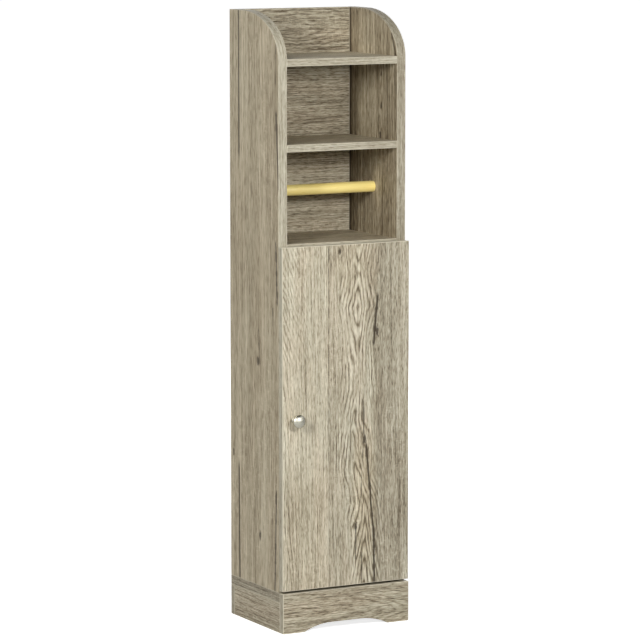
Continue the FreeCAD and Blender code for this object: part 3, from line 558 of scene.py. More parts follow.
# %% Prints of the other boards
lying_lines = (
    [(-1.0, -0.030), (1.0, -0.018)],
    [(-0.117, 0.0), (0.020, 1.5), (0.060, 2.5), (0.113, 4.5)],
    {"Across": 170.0, "Roundness": 0.008, "Reach": 0.060, "Unrest": 2.5}, 0.45)
back_lines = (
    [(-1.0, -0.965), (1.0, -0.965)],
    [(-0.117, 3.0), (0.000, 0.0), (0.113, 2.5)],
    {"Across": 170.0, "Roundness": 0.012, "Reach": 0.080, "Unrest": 2.0}, 0.45)
prints_and_painted_light["front_plinth"] = decor_and_painted_light(
    "front_plinth", level, 2.11, cream=-0.095, strip_cream=-0.06, contrast=1.15, fineness=1.3, rub_and_highlight=0.75,
    rings=[lying_lines])
prints_and_painted_light["upper_back_panel"] = decor_and_painted_light(
    "upper_back_panel", level, 1.21, cream=-0.195, contrast=1.2, fineness=1.3, rings=[back_lines],
    planks_and_painted_shade=[(-0.920, 0.006, 0.015), (-0.785, 0.006, 0.11)])
for node, turn, slice_shift, cream, strip_cream in (
        ("top_shelf", level, 0.13, 0.04, -0.04), ("middle_shelf", level, 0.59, -0.06, -0.05),
        ("cupboard_top", level, 0.93, -0.11, -0.02), ("bottom_board", level, 1.57, -0.15, -0.25),
        ("cupboard_shelf", level, 1.83, -0.10, 0.0), ("left_plinth", front_to_back, 2.47, -0.11, -0.04),
        ("right_plinth", front_to_back, 2.83, -0.11, -0.04), ("back_plinth", level, 3.17, -0.11, -0.08)):
    prints_and_painted_light[node] = decor_and_painted_light(node, turn, slice_shift, cream, strip_cream, rub_and_highlight=0.4)
print(len(prints_and_painted_light), "prints_and_painted_light")

# %% [markdown]
# The boards repeat a few rules: a box with eased edges, sometimes a rounded or an arched outline, and round
# bores for pins, bars and screws. Geometry Nodes suit that well, because each tree is one rule with named
# sizes. The bores need to know where they are, so a small helper keeps their places as loose points that
# carry a direction and a size.

# %% Helpers for Geometry Nodes
OBJECT, MATERIAL, GEOMETRY = "NodeSocketObject", "NodeSocketMaterial", "NodeSocketGeometry"
weld_distance, sharp_angle = 1e-6, math.radians(32)


def shape_tree(name, inputs):
    """An empty Geometry Nodes tree; gives the tree, its input values and its output socket."""
    tree = bpy.data.node_groups.new(name, "GeometryNodeTree")
    tree.interface.new_socket("Geometry", in_out="OUTPUT", socket_type=GEOMETRY)
    for label, kind in inputs:
        tree.interface.new_socket(label, in_out="INPUT", socket_type=kind)
    return tree, tree.nodes.new("NodeGroupInput").outputs, tree.nodes.new("NodeGroupOutput").inputs[0]


def shape_with(piece, tree, **inputs):
    """Gives a piece the tree as a modifier; each input is set by its socket's identifier."""
    modifier = piece.modifiers.new(tree.name, "NODES")
    modifier.node_group = tree
    for socket in tree.interface.items_tree:
        label = socket.name.replace(" ", "_")
        if socket.in_out == "INPUT" and label in inputs:
            modifier[socket.identifier] = inputs[label]


def new_piece(name, mesh=None):
    """A piece at the origin."""
    piece = bpy.data.objects.new(name, mesh or bpy.data.meshes.new(name))
    bpy.context.scene.collection.objects.link(piece)
    return piece


def settle(piece):
    """Turns a piece and its modifiers into one plain mesh."""
    graph = bpy.context.evaluated_depsgraph_get()
    shaped = piece.evaluated_get(graph)
    mesh = bpy.data.meshes.new_from_object(shaped, preserve_all_data_layers=True, depsgraph=graph)
    piece.modifiers.clear()
    piece.data = mesh


def points_piece(name, points, **vectors):
    """Loose points, each with named vectors."""
    mesh = bpy.data.meshes.new(name)
    mesh.from_pydata(points, [], [])
    for label, values in vectors.items():
        attribute = mesh.attributes.new(label, "FLOAT_VECTOR", "POINT")
        attribute.data.foreach_set("vector", [number for value in values for number in value])
    return new_piece(name, mesh)


def named(tree, label):
    """A vector that the points carry."""
    return put(tree, "GeometryNodeInputNamedAttribute", {"Name": label}, data_type="FLOAT_VECTOR").outputs[0]


def welded(tree, geometry):
    """A geometry whose doubled points are made one."""
    inputs = {"Geometry": geometry, "Distance": weld_distance}
    return put(tree, "GeometryNodeMergeByDistance", inputs).outputs[0]


def closed(tree, *shells):
    """Several open shells welded into one closed one."""
    node = put(tree, "GeometryNodeJoinGeometry")
    for shell in shells:
        tree.links.new(shell, node.inputs[0])
    return welded(tree, node.outputs[0])


def thick(tree, sheet, offset, thickness):
    """A flat sheet given a thickness along the offset."""
    raised = put(tree, "GeometryNodeExtrudeMesh", {
        "Mesh": sheet, "Offset": offset, "Offset Scale": thickness, "Individual": False}).outputs["Mesh"]
    return closed(tree, raised, put(tree, "GeometryNodeFlipFaces", {"Mesh": sheet}).outputs[0])


def smooth_by_angle(tree, geometry):
    """Smooth faces, with a sharp edge wherever the surface turns by more than the sharp angle."""
    smooth = put(tree, "GeometryNodeSetShadeSmooth", {"Geometry": geometry, "Shade Smooth": True}).outputs[0]
    turn = put(tree, "GeometryNodeInputMeshEdgeAngle").outputs["Unsigned Angle"]
    is_sharp = calc(tree, "GREATER_THAN", turn, sharp_angle)
    inputs = {"Geometry": smooth, "Selection": is_sharp, "Shade Smooth": False}
    return put(tree, "GeometryNodeSetShadeSmooth", inputs, domain="EDGE").outputs[0]


def finish_tree(tree, geometry, material, result):
    """The last two steps of every tree: real geometry instead of instances, and the finish."""
    real = put(tree, "GeometryNodeRealizeInstances", {0: geometry}).outputs[0]
    coated = put(tree, "GeometryNodeSetMaterial", {"Geometry": real, "Material": material}).outputs[0]
    tree.links.new(coated, result)


print("shape helpers ready")

# %% [markdown]
# A side panel is a tall rectangle with one large quarter of an oval where the front meets the top. A fillet
# only makes circles, so the tree draws a rectangle that is too tall, fillets the corner with index 1, fills
# the outline, gives it its thickness and then squeezes it to its height, which turns the circle into the
# oval. Drawing lies flat, so the last step also stands it up: x of the drawing becomes depth and y becomes
# height.

# %% Tree: a panel with one oval corner
panel_tree, given, result = shape_tree("oval_corner_panel", [
    ("Depth", FLOAT), ("Height", FLOAT), ("Corner Depth", FLOAT), ("Corner Height", FLOAT),
    ("Thickness", FLOAT), ("Low", VECTOR), ("Finish", MATERIAL)])
t = panel_tree
front_top_corner, corner_steps = 1.0, 48
too_tall = calc(t, "DIVIDE", given["Corner Depth"], given["Corner Height"])
drawn_height = calc(t, "MULTIPLY", given["Height"], too_tall)
outline = put(t, "GeometryNodeCurvePrimitiveQuadrilateral", {"Width": given["Depth"], "Height": drawn_height})
corner_index = put(t, "GeometryNodeInputIndex").outputs[0]
is_corner = calc(t, "COMPARE", corner_index, front_top_corner, 0.1)
corner_radius = calc(t, "MULTIPLY", is_corner, given["Corner Depth"])
rounded = put(t, "GeometryNodeFilletCurve", {
    "Curve": outline.outputs[0], "Count": corner_steps, "Radius": corner_radius}, mode="POLY").outputs[0]
flat = welded(t, put(t, "GeometryNodeFillCurve", {"Curve": rounded}, mode="NGONS").outputs[0])
half = xyz(t, y=calc(t, "MULTIPLY", given["Depth"], 0.5), z=calc(t, "MULTIPLY", given["Height"], 0.5))
panel = put(t, "GeometryNodeTransform", {
    "Geometry": thick(t, flat, xyz(t, z=1.0), given["Thickness"]),
    "Translation": vec(t, "ADD", given["Low"], half),
    "Rotation": (quarter, 0, quarter),
    "Scale": xyz(t, 1.0, calc(t, "DIVIDE", 1.0, too_tall), 1.0)}).outputs[0]
finish_tree(t, panel, given["Finish"], result)
print("oval corner panel tree has", len(t.nodes), "nodes")

# %% [markdown]
# The front plinth has a low arch cut from its lower edge: a flat crown between two arcs. A grid one board
# wide gets its lower row of points lifted by that rule. The lift at a distance d past the crown is the
# crown's height less the fall of a circle, r - sqrt(r*r - d*d), and nothing below the floor.

# %% Tree: a plinth board with a low arch
arch_tree, given, result = shape_tree("arched_plinth", [
    ("Width", FLOAT), ("Height", FLOAT), ("Thickness", FLOAT), ("Crown", FLOAT), ("Crown Half", FLOAT),
    ("Arc Radius", FLOAT), ("Low", VECTOR), ("Finish", MATERIAL)])
t = arch_tree
columns = 231
grid = put(t, "GeometryNodeMeshGrid", {
    "Size X": given["Width"], "Size Y": 1.0, "Vertices X": columns, "Vertices Y": 2}).outputs[0]
x, v, _ = split(t, put(t, "GeometryNodeInputPosition").outputs[0])
past = calc(t, "MAXIMUM", calc(t, "SUBTRACT", calc(t, "ABSOLUTE", x), given["Crown Half"]), 0.0)
radius_square = calc(t, "MULTIPLY", given["Arc Radius"], given["Arc Radius"])
inside = calc(t, "MAXIMUM", calc(t, "SUBTRACT", radius_square, calc(t, "MULTIPLY", past, past)), 0.0)
fall = calc(t, "SUBTRACT", given["Arc Radius"], calc(t, "SQRT", inside))
lift = calc(t, "MAXIMUM", calc(t, "SUBTRACT", given["Crown"], fall), 0.0)
share = calc(t, "ADD", v, 0.5)
rise = calc(t, "MULTIPLY_ADD", calc(t, "SUBTRACT", given["Height"], lift), share, lift)
shift = xyz(t, calc(t, "ADD", x, calc(t, "MULTIPLY", given["Width"], 0.5)), 0.0, rise)
front = put(t, "GeometryNodeSetPosition", {
    "Geometry": grid, "Position": vec(t, "ADD", shift, given["Low"])}).outputs[0]
turned_round = put(t, "GeometryNodeFlipFaces", {"Mesh": front}).outputs[0]
finish_tree(t, thick(t, turned_round, xyz(t, y=1.0), given["Thickness"]), given["Finish"], result)
print("arched plinth tree has", len(t.nodes), "nodes")

# %% [markdown]
# Every board then goes through the same last station: its bores are drilled. The tree sets a drill, a plain
# unit cylinder, on each point, turns it along the point's direction, stretches it to the bore's radius and
# depth, and takes all of them away with one boolean. The drill is centred on the mouth, so only half of it
# is in the wood.

# %% Tree: drilled boards
bored_tree, given, result = shape_tree("bored_board", [
    ("Geometry", GEOMETRY), ("Bores", OBJECT), ("Finish", MATERIAL)])
t = bored_tree
drill_sides = 40
mouths = put(t, "GeometryNodeObjectInfo", {"Object": given["Bores"]}).outputs["Geometry"]
unit_drill = {"Vertices": drill_sides, "Radius": 1.0, "Depth": 2.0}
drill = put(t, "GeometryNodeMeshCylinder", unit_drill).outputs["Mesh"]
aim = put(t, "FunctionNodeAlignRotationToVector", {"Vector": named(t, "facing")}, axis="Z").outputs[0]
drills = put(t, "GeometryNodeInstanceOnPoints", {
    "Points": mouths, "Instance": drill, "Rotation": aim, "Scale": named(t, "bore")}).outputs[0]
drills = put(t, "GeometryNodeRealizeInstances", {0: drills}).outputs[0]
bored = put(t, "GeometryNodeMeshBoolean", {
    "Mesh 1": given["Geometry"], "Mesh 2": drills}, operation="DIFFERENCE").outputs[0]
finish_tree(t, smooth_by_angle(t, bored), given["Finish"], result)
print("bored board tree has", len(t.nodes), "nodes")

# %% [markdown]
# Where the bores are follows from the fittings. A node of the model such as the back screws holds several
# loose solids, so the next helper walks from point to point along the edges to tell them apart, and gives
# for each its head's place, the way it points, its radius and its length.

# %% Find the fittings
def solids(node):
    """The boxes of the separate solids inside one node of the model."""
    shape = bmesh.new()
    shape.from_mesh(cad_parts[node].data)
    bmesh.ops.remove_doubles(shape, verts=shape.verts[:], dist=weld_distance)
    boxes, seen = [], set()
    for start in shape.verts:
        if start in seen:
            continue
        seen.add(start)
        waiting, corners = [start], []
        while waiting:
            vert = waiting.pop()
            corners.append(vert.co.copy())
            beside = [edge.other_vert(vert) for edge in vert.link_edges]
            fresh = [other for other in beside if other not in seen]
            seen.update(fresh)
            waiting.extend(set(fresh))
        boxes.append((Vector(map(min, zip(*corners))), Vector(map(max, zip(*corners)))))
    shape.free()
    return boxes


def fittings(node, facing=None):
    """(head place, direction, radius, length) of each fitting; without a direction it points outwards."""
    found = []
    for low, high in solids(node):
        size, middle = high - low, (low + high) / 2
        way = Vector(facing) if facing else Vector((0, 0, 0))
        if not facing:
            axis = max(range(3), key=lambda i: size[i])
            way[axis] = 1.0 if axis == 2 or middle[axis] > 0 else -1.0
        length = abs(size.dot(way))
        radius = (max(size) if length < max(size) else sorted(size)[1]) / 2
        found.append((middle - way * (length / 2), way, radius, length))
    return found


to_front, to_back, to_top = (0, -1, 0), (0, 1, 0), (0, 0, 1)
fitting_sets = {
    "back_panel_screws": fittings("back_panel_screws", to_front),
    "base_screws": fittings("base_screws", to_top),
    "corner_block_screws": fittings("corner_block_screws"),
    "frame_leaf_screws": fittings("frame_leaf_screws", to_back),
    "door_leaf_screws": fittings("door_leaf_screws", to_front),
    "knob_screw": fittings("knob_screw", to_front),
    "cam_locks": fittings("cam_locks", to_top),
    "shelf_pins": fittings("shelf_pins"),
}
for node, found in fitting_sets.items():
    place, way, radius, length = found[0]
    print(node, len(found), "radius %.4f length %.4f" % (radius, length), "pointing", list(way))

# %% [markdown]
# Now the boards themselves. The plain ones start as a box between the model's two corners, the sides and
# the front plinth come from their trees. A Bevel modifier eases the edges before drilling, so that the
# bores keep crisp rims, and Weighted Normal keeps the large faces flat while the eased edges stay soft.

# %% Build the boards
play, eased_edge = 0.0001, 0.0008
knob_seat, cam_seat, screw_seat = 0.0022, 0.010, 0.002


def box_mesh(node):
    """A box with the corners of a node."""
    low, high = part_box(node)
    shape = bmesh.new()
    bmesh.ops.create_cube(shape, size=1.0)
    for vert in shape.verts:
        vert.co = Vector([low[i] + (vert.co[i] + 0.5) * (high[i] - low[i]) for i in range(3)])
    mesh = bpy.data.meshes.new(node)
    shape.to_mesh(mesh)
    shape.free()
    return mesh


def stand_for(piece, node, body):
    """Lets a piece ride on a body and stand there for a node of the model."""
    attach(piece, body)
    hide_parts(node)
    print(piece.name, len(piece.data.polygons), "faces")


def ready_board(piece, node, body, bores):
    """Eases, drills and settles a board, and lets it stand for its node."""
    bevel = piece.modifiers.new("eased_edges", "BEVEL")
    bevel.width, bevel.segments = eased_edge, 3
    bevel.limit_method, bevel.angle_limit = "ANGLE", sharp_angle
    mouths = points_piece(node + "_bores", [place for place, way, radius, depth in bores],
                          facing=[way for place, way, radius, depth in bores],
                          bore=[(radius, radius, depth) for place, way, radius, depth in bores])
    shape_with(piece, bored_tree, Bores=mouths, Finish=prints_and_painted_light[node])
    piece.modifiers.new("flat_faces", "WEIGHTED_NORMAL").keep_sharp = True
    settle(piece)
    bpy.data.objects.remove(mouths)
    stand_for(piece, node, body)


def within(place, node):
    """True where a place lies in the box of a node."""
    low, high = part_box(node)
    return all(low[i] - play <= place[i] <= high[i] + play for i in range(3))


def seats(name, depth, board=None):
    """Bores for the heads of a set of fittings, or only for those that lie in the box of one board."""
    return [(place, way, radius + play, depth) for place, way, radius, length in fitting_sets[name]
            if board is None or within(place, board)]


plain_boards = {
    "door_panel": seats("knob_screw", knob_seat),
    "top_shelf": seats("cam_locks", cam_seat, "top_shelf"),
    "middle_shelf": seats("cam_locks", cam_seat, "middle_shelf"),
    "cupboard_top": seats("cam_locks", cam_seat, "cupboard_top"),
    "upper_back_panel": seats("back_panel_screws", screw_seat),
    "bottom_board": seats("base_screws", screw_seat),
    "cupboard_shelf": [],
    "left_plinth": [],
    "right_plinth": [],
    "back_plinth": [],
}
for node, bores in plain_boards.items():
    body = "door" if node == "door_panel" else "carcass"
    ready_board(new_piece(node + "_board", box_mesh(node)), node, body, bores)

# %% [markdown]
# The two sides are mirror images, so one loop makes both. Each has six pin holes in rows of two on its
# inner face and one blind socket for the roll bar. The pins tell where the middle row is, and the rows
# above and below are one pitch away.

# %% Build the side panels
pin_pitch, pin_hole_radius, pin_hole_depth, bar_socket_depth = 0.064, 0.0025, 0.009, 0.008
bar_low, bar_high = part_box("roll_bar")
bar_radius = (bar_high.z - bar_low.z) / 2
bar_y, bar_z = (bar_low.y + bar_high.y) / 2, (bar_low.z + bar_high.z) / 2
for node, way in (("left_side_panel", -1.0), ("right_side_panel", 1.0)):
    low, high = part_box(node)
    inner = high.x if way < 0 else low.x
    socket = Vector((inner, bar_y, bar_z))
    bores = [(socket, Vector((way, 0, 0)), bar_radius + play / 2, bar_socket_depth)]
    for place, pin_way, radius, length in fitting_sets["shelf_pins"]:
        if pin_way.x == way:
            for row in (-1, 0, 1):
                mouth = Vector((inner, place.y, place.z + row * pin_pitch))
                bores.append((mouth, pin_way, pin_hole_radius, pin_hole_depth))
    side = new_piece(node + "_board")
    shape_with(side, panel_tree, Depth=high.y - low.y, Height=high.z - low.z, Corner_Depth=corner_depth,
               Corner_Height=corner_height, Thickness=high.x - low.x, Low=low, Finish=prints_and_painted_light[node])
    ready_board(side, node, "carcass", bores)

# %% [markdown]
# The front plinth takes its arch from three sizes that a joiner would mark on the board: how high the crown
# is, and how wide the crown and the whole arch are. The arcs' radius follows, because an arc that starts
# level and falls by the crown's height over the rest of the width has only one.

# %% Build the front plinth
arch_crown, arch_crown_half, arch_half = 0.012, 0.027, 0.077
arch_run = arch_half - arch_crown_half
arc_radius = (arch_run ** 2 + arch_crown ** 2) / (2 * arch_crown)
low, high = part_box("front_plinth")
plinth = new_piece("front_plinth_board")
shape_with(plinth, arch_tree, Width=high.x - low.x, Height=high.z - low.z, Thickness=high.y - low.y,
           Crown=arch_crown, Crown_Half=arch_crown_half, Arc_Radius=arc_radius, Low=low,
           Finish=prints_and_painted_light["front_plinth"])
ready_board(plinth, "front_plinth", "carcass", [])

# %% [markdown]
# Metal gets its look from how it was finished. Nickel on the knob and hinges was brushed to a satin, zinc
# on the screws is plated and a little cloudy. Both need fine scratches and cloudy patches, so these are one
# group, and each metal only chooses its colour and how strong they are.

# %% Shader group: brushed and cloudy metal
metal_skin, given, result = shader_group(
    "metal_skin",
    [("Place", VECTOR, (0, 0, 0)), ("Bright", COLOUR, (1, 1, 1, 1)), ("Dull", COLOUR, (0.5, 0.5, 0.5, 1)),
     ("Sheen", FLOAT, 0.3), ("Brush", VECTOR, (900, 900, 5000))],
    [("Color", COLOUR), ("Roughness", FLOAT), ("Height", FLOAT)])
t = metal_skin
scratch_depth = 0.00004
brush_place = vec(t, "MULTIPLY", given["Place"], given["Brush"])
scratches = put(t, "ShaderNodeTexNoise", {"Vector": brush_place, "Scale": 1.0, "Detail": 3.0}).outputs[0]
clouds = noise(t, given["Place"], (160, 160, 160), 4.0, 0.6)
t.links.new(mix(t, ease(t, clouds, 0.3, 0.7), given["Bright"], given["Dull"]), result["Color"])
haze = calc(t, "MULTIPLY_ADD", clouds, 0.16, calc(t, "MULTIPLY_ADD", scratches, 0.14, -0.15))
t.links.new(calc(t, "ADD", given["Sheen"], haze), result["Roughness"])
t.links.new(scratches, result["Height"])


def metal(name, bright, dull, sheen, brush, scratch_strength):
    """One metal finish."""
    material, tree, shader, place = principled(name)
    skin = use(tree, metal_skin, Place=place, Bright=(*bright, 1), Dull=(*dull, 1), Sheen=sheen, Brush=brush)
    tree.links.new(skin["Color"], shader.inputs["Base Color"])
    tree.links.new(skin["Roughness"], shader.inputs["Roughness"])
    shader.inputs["Metallic"].default_value = 1.0
    emboss(tree, shader, skin["Height"], scratch_strength, scratch_depth)
    return material


satin_nickel = metal("satin_nickel", (0.63, 0.612, 0.515), (0.53, 0.513, 0.430), 0.24, (700, 6000, 700), 0.25)
zinc_plate = metal("zinc_plate", (0.66, 0.68, 0.70), (0.55, 0.56, 0.55), 0.38, (2500, 2500, 2500), 0.15)
print("metals", satin_nickel.name, zinc_plate.name)

# %% [markdown]
# The bar, the corner blocks and the thin back are real wood products, not prints. Each gets its own small
# network: the bar is pale yellow softwood under a satin lacquer with slow grain lines along it, beech has
# short brown flecks, and hardboard is pressed fibre, brown and speckled. The lacquer is the shader's Coat,
# and a little yellow Sheen keeps the bar's rims as warm and bright as thin lacquer does.

# %% Finishes of the bar, the blocks and the thin back
def grained(name, stops, stretch, flecks, fleck_colour, roughness):
    """A plain wood: grain lines through a colour ramp, with short flecks on top."""
    material, tree, shader, place = principled(name)
    lines = noise(tree, place, stretch, 4.0, 0.6)
    speck = ease(tree, noise(tree, place, flecks, 1.0), 0.60, 0.72)
    colour = mix(tree, calc(tree, "MULTIPLY", speck, 0.55), ramp(tree, lines, stops), (*fleck_colour, 1))
    tree.links.new(colour, shader.inputs["Base Color"])
    rough = calc(tree, "MULTIPLY_ADD", lines, 0.15, roughness - 0.075)
    tree.links.new(rough, shader.inputs["Roughness"])
    emboss(tree, shader, calc(tree, "SUBTRACT", lines, speck), 0.2, 0.0002)
    return material


pine_bar = grained("pine_bar", [(0.25, (0.99, 0.76, 0.23)), (0.75, (1.00, 0.86, 0.34))], (14, 330, 330),
                   (60, 900, 900), (0.92, 0.66, 0.20), 0.42)
lacquer = {"Coat Weight": 0.5, "Coat Roughness": 0.25, "Sheen Weight": 0.35,
           "Sheen Tint": (1.0, 0.80, 0.32, 1)}
for label, value in lacquer.items():
    pine_bar.node_tree.nodes["Principled BSDF"].inputs[label].default_value = value
beech = grained("beech", [(0.25, (0.47, 0.29, 0.14)), (0.75, (0.66, 0.46, 0.26))], (260, 260, 12),
                (900, 900, 160), (0.33, 0.18, 0.08), 0.62)
hardboard = grained("hardboard", [(0.3, (0.20, 0.115, 0.055)), (0.7, (0.33, 0.215, 0.115))], (350, 350, 350),
                    (1500, 1500, 500), (0.46, 0.33, 0.20), 0.5)
print("woods", pine_bar.name, beech.name, hardboard.name)

# %% [markdown]
# Moulded and pressed small parts are next. The catch's housing is off-white plastic with a fine eroded
# surface, its magnet is dark pressed powder, and the door's bumpers are soft clear-white pads. A cloud for
# the colour and a much finer one for the surface is enough for parts this small.

# %% Finishes of the catch and the bumpers
def moulded(name, light, shade, roughness, pits, strength):
    """A small moulded part: faint clouds in the colour and a fine eroded surface."""
    material, tree, shader, place = principled(name)
    clouds = ease(tree, noise(tree, place, (120, 120, 120), 3.0), 0.3, 0.7)
    tree.links.new(mix(tree, clouds, (*light, 1), (*shade, 1)), shader.inputs["Base Color"])
    skin = noise(tree, place, (pits, pits, pits), 2.0)
    tree.links.new(calc(tree, "MULTIPLY_ADD", skin, 0.2, roughness - 0.1), shader.inputs["Roughness"])
    emboss(tree, shader, skin, strength, 0.0001)
    return material


catch_plastic = moulded("catch_plastic", (0.70, 0.68, 0.62), (0.63, 0.61, 0.55), 0.5, 2500, 0.3)
magnet = moulded("magnet", (0.028, 0.028, 0.030), (0.020, 0.020, 0.021), 0.6, 4000, 0.5)
bumper = moulded("bumper", (0.64, 0.64, 0.61), (0.57, 0.57, 0.54), 0.3, 900, 0.2)
print("small parts", catch_plastic.name, magnet.name, bumper.name)

# %% [markdown]
# Screws, cams and pins are the same few shapes many times over. Each is turned once about its own axis,
# like work on a lathe, and a tree cuts a cross in its head and sets a copy at every place that was found
# above. The copies are made real at the end, so that they travel with the cabinet as ordinary mesh.

# %% Tree: fittings with a cross in the head
fitting_tree, given, result = shape_tree("fittings", [
    ("Geometry", GEOMETRY), ("Shape", OBJECT), ("Cross Length", FLOAT), ("Cross Width", FLOAT),
    ("Cross Depth", FLOAT), ("Finish", MATERIAL)])
t = fitting_tree
form = put(t, "GeometryNodeObjectInfo", {"Object": given["Shape"]}).outputs["Geometry"]
deep = calc(t, "MULTIPLY", given["Cross Depth"], 2.0)
cut = put(t, "GeometryNodeMeshBoolean", {"Mesh 1": form}, operation="DIFFERENCE")
for along, across in (("Cross Length", "Cross Width"), ("Cross Width", "Cross Length")):
    arm = put(t, "GeometryNodeMeshCube", {"Size": xyz(t, given[along], given[across], deep)})
    t.links.new(arm.outputs[0], cut.inputs["Mesh 2"])
has_cross = calc(t, "GREATER_THAN", given["Cross Length"], 0.0)
chosen = put(t, "GeometryNodeSwitch", {"Switch": has_cross, "False": form, "True": cut.outputs[0]},
             input_type="GEOMETRY").outputs[0]
aim = put(t, "FunctionNodeAlignRotationToVector", {"Vector": named(t, "facing")}, axis="Z").outputs[0]
copies = put(t, "GeometryNodeInstanceOnPoints", {
    "Points": given["Geometry"], "Instance": smooth_by_angle(t, chosen), "Rotation": aim}).outputs[0]
finish_tree(t, copies, given["Finish"], result)
print("fittings tree has", len(t.nodes), "nodes")

# %% [markdown]
# The lathe itself is a few lines: each point of a profile becomes a ring about the axis, and neighbouring
# rings are joined by faces. A Screw modifier could do the same, but here the axis may point any way, and
# the points on it stay single, so the ends close cleanly. The profiles of the screw, the cam and the pin
# follow, as (radius, distance) pairs.

# %% Turn a profile about an axis
def turned_mesh(name, profile, base=(0, 0, 0), way=(0, 0, 1), steps=32):
    """A closed mesh turned from (radius, distance) points that begin and end on the axis."""
    shape = bmesh.new()
    spin = Vector((0, 0, 1)).rotation_difference(Vector(way)).to_matrix()
    rings = []
    for radius, distance in profile:
        count = steps if radius > 0 else 1
        angles = [math.tau * i / count for i in range(count)]
        spots = [Vector((radius * math.cos(a), radius * math.sin(a), distance)) for a in angles]
        rings.append([shape.verts.new(Vector(base) + spin @ spot) for spot in spots])
    for lower, upper in zip(rings, rings[1:]):
        for i in range(steps):
            here, beyond = i, i + 1
            corners = [lower[here % len(lower)], lower[beyond % len(lower)],
                       upper[beyond % len(upper)], upper[here % len(upper)]]
            shape.faces.new(list(dict.fromkeys(corners)))
    bmesh.ops.recalc_face_normals(shape, faces=shape.faces[:])
    mesh = bpy.data.meshes.new(name)
    shape.to_mesh(mesh)
    shape.free()
    return mesh


def screw_profile(head, length):
    """A countersunk, pointed wood screw."""
    shank, edge = 0.53 * head, 0.06 * head
    return [(0, 0), (head - edge, 0), (head, edge), (shank, head - shank + edge),
            (shank, length - 2 * shank), (0, length)]


def cam_profile(head, length):
    """A cam: a round nut with eased rims."""
    edge = 0.0004
    return [(0, 0), (head - edge, 0), (head, edge), (head, length - edge), (head - edge, length), (0, length)]


def pin_profile(head, length):
    """A shelf pin: a post with a rounded end, a collar and a shank."""
    post, shank, end = 0.0030, 0.0025, 0.0006
    collar, collar_end = 0.0080, 0.0095
    return [(0, 0), (post - end, 0), (post - 0.2 * end, 0.2 * end), (post, end), (post, collar),
            (head, collar), (head, collar_end), (shank, collar_end), (shank, length), (0, length)]


print("screw profile has", len(screw_profile(0.004, 0.030)), "points")

# %% [markdown]
# Now each set gets its finish, its profile and its copies. How long, wide and deep the cross in a head is
# follows from the head's radius, so a small screw gets a small cross, and a pin gets none.

# %% Set the fittings in place
crosses = {screw_profile: (1.15, 0.25, 0.35), cam_profile: (1.33, 0.23, 0.33), pin_profile: (0.0, 0.0, 0.0)}
metals = {"satin_nickel": satin_nickel, "zinc_plate": zinc_plate}
fitting_shapes = {
    "back_panel_screws": ("carcass", "zinc_plate", screw_profile),
    "base_screws": ("carcass", "zinc_plate", screw_profile),
    "corner_block_screws": ("carcass", "zinc_plate", screw_profile),
    "frame_leaf_screws": ("carcass", "satin_nickel", screw_profile),
    "door_leaf_screws": ("door", "satin_nickel", screw_profile),
    "cam_locks": ("carcass", "zinc_plate", cam_profile),
    "shelf_pins": ("carcass", "satin_nickel", pin_profile),
}
for node, (body, slot, profile) in fitting_shapes.items():
    found = fitting_sets[node]
    head = found[0][2]
    shortest = min(length for place, way, radius, length in found)
    cross_length, cross_width, cross_depth = [share * head for share in crosses[profile]]
    places = points_piece(node + "_set", [place for place, way, radius, length in found],
                          facing=[way for place, way, radius, length in found])
    shape = new_piece(node + "_shape", turned_mesh(node + "_shape", profile(head, shortest)))
    shape_with(places, fitting_tree, Shape=shape, Cross_Length=cross_length, Cross_Width=cross_width,
               Cross_Depth=cross_depth, Finish=metals[slot])
    settle(places)
    bpy.data.objects.remove(shape)
    stand_for(places, node, body)

# %% [markdown]
# The knob is turned metal: a low base on the door, a hollow neck, and a mushroom head with a domed face. A
# lathe profile gives it, with the hollows drawn as shallow bows. A Bevel rounds the rims, because on
# polished metal the bright line along a rim is what shows that it is metal.

# %% Turn the door knob
def bow(start, end, hollow, steps=12):
    """Points between start and end on a shallow curve that dips inwards by hollow."""
    dr, dd = end[0] - start[0], end[1] - start[1]
    chord = math.hypot(dr, dd)
    points = []
    for i in range(steps + 1):
        s = i / steps
        dip = hollow * 4 * s * (1 - s) / chord
        points.append((start[0] + dr * s - dd * dip, start[1] + dd * s + dr * dip))
    return points


low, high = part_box("door_knob")
head_radius, projection = (high.x - low.x) / 2, high.y - low.y
knob_foot = Vector(((low.x + high.x) / 2, high.y, (low.z + high.z) / 2))
face_start, dome_steps, knob_sides = 0.0180, 14, 72
dome_height = projection - face_start
dome_radius = (head_radius ** 2 + dome_height ** 2) / (2 * dome_height)
dome_angle = math.asin(head_radius / dome_radius)
dome = []
for i in range(dome_steps):
    angle = dome_angle * (1 - i / dome_steps)
    dome.append((dome_radius * math.sin(angle), projection - dome_radius * (1 - math.cos(angle))))
dome.append((0, projection))
base_edge, neck, head_back = (0.0062, 0.0016), (0.0042, 0.0080), (head_radius, 0.0135)
foot_bow, neck_bow = bow(base_edge, neck, 0.0007), bow(neck, head_back, 0.0010)
knob_profile = [(0, 0), (base_edge[0], 0)] + foot_bow + neck_bow[1:] + dome
knob_mesh = turned_mesh("door_knob_turned", knob_profile, knob_foot, (0, -1, 0), knob_sides)
knob_mesh.materials.append(satin_nickel)
knob_mesh.shade_smooth()
door_knob = new_piece("door_knob_turned", knob_mesh)
rim = door_knob.modifiers.new("round_rims", "BEVEL")
rim.width, rim.segments = 0.0007, 4
rim.limit_method, rim.angle_limit = "ANGLE", math.radians(25)
settle(door_knob)
stand_for(door_knob, "door_knob", "door")

# %% [markdown]
# The roll bar is a plain dowel, so all its charm is in the finish and in its eased ends, which sit in blind
# sockets. The bumpers are little domed pads. Both are turned as well.

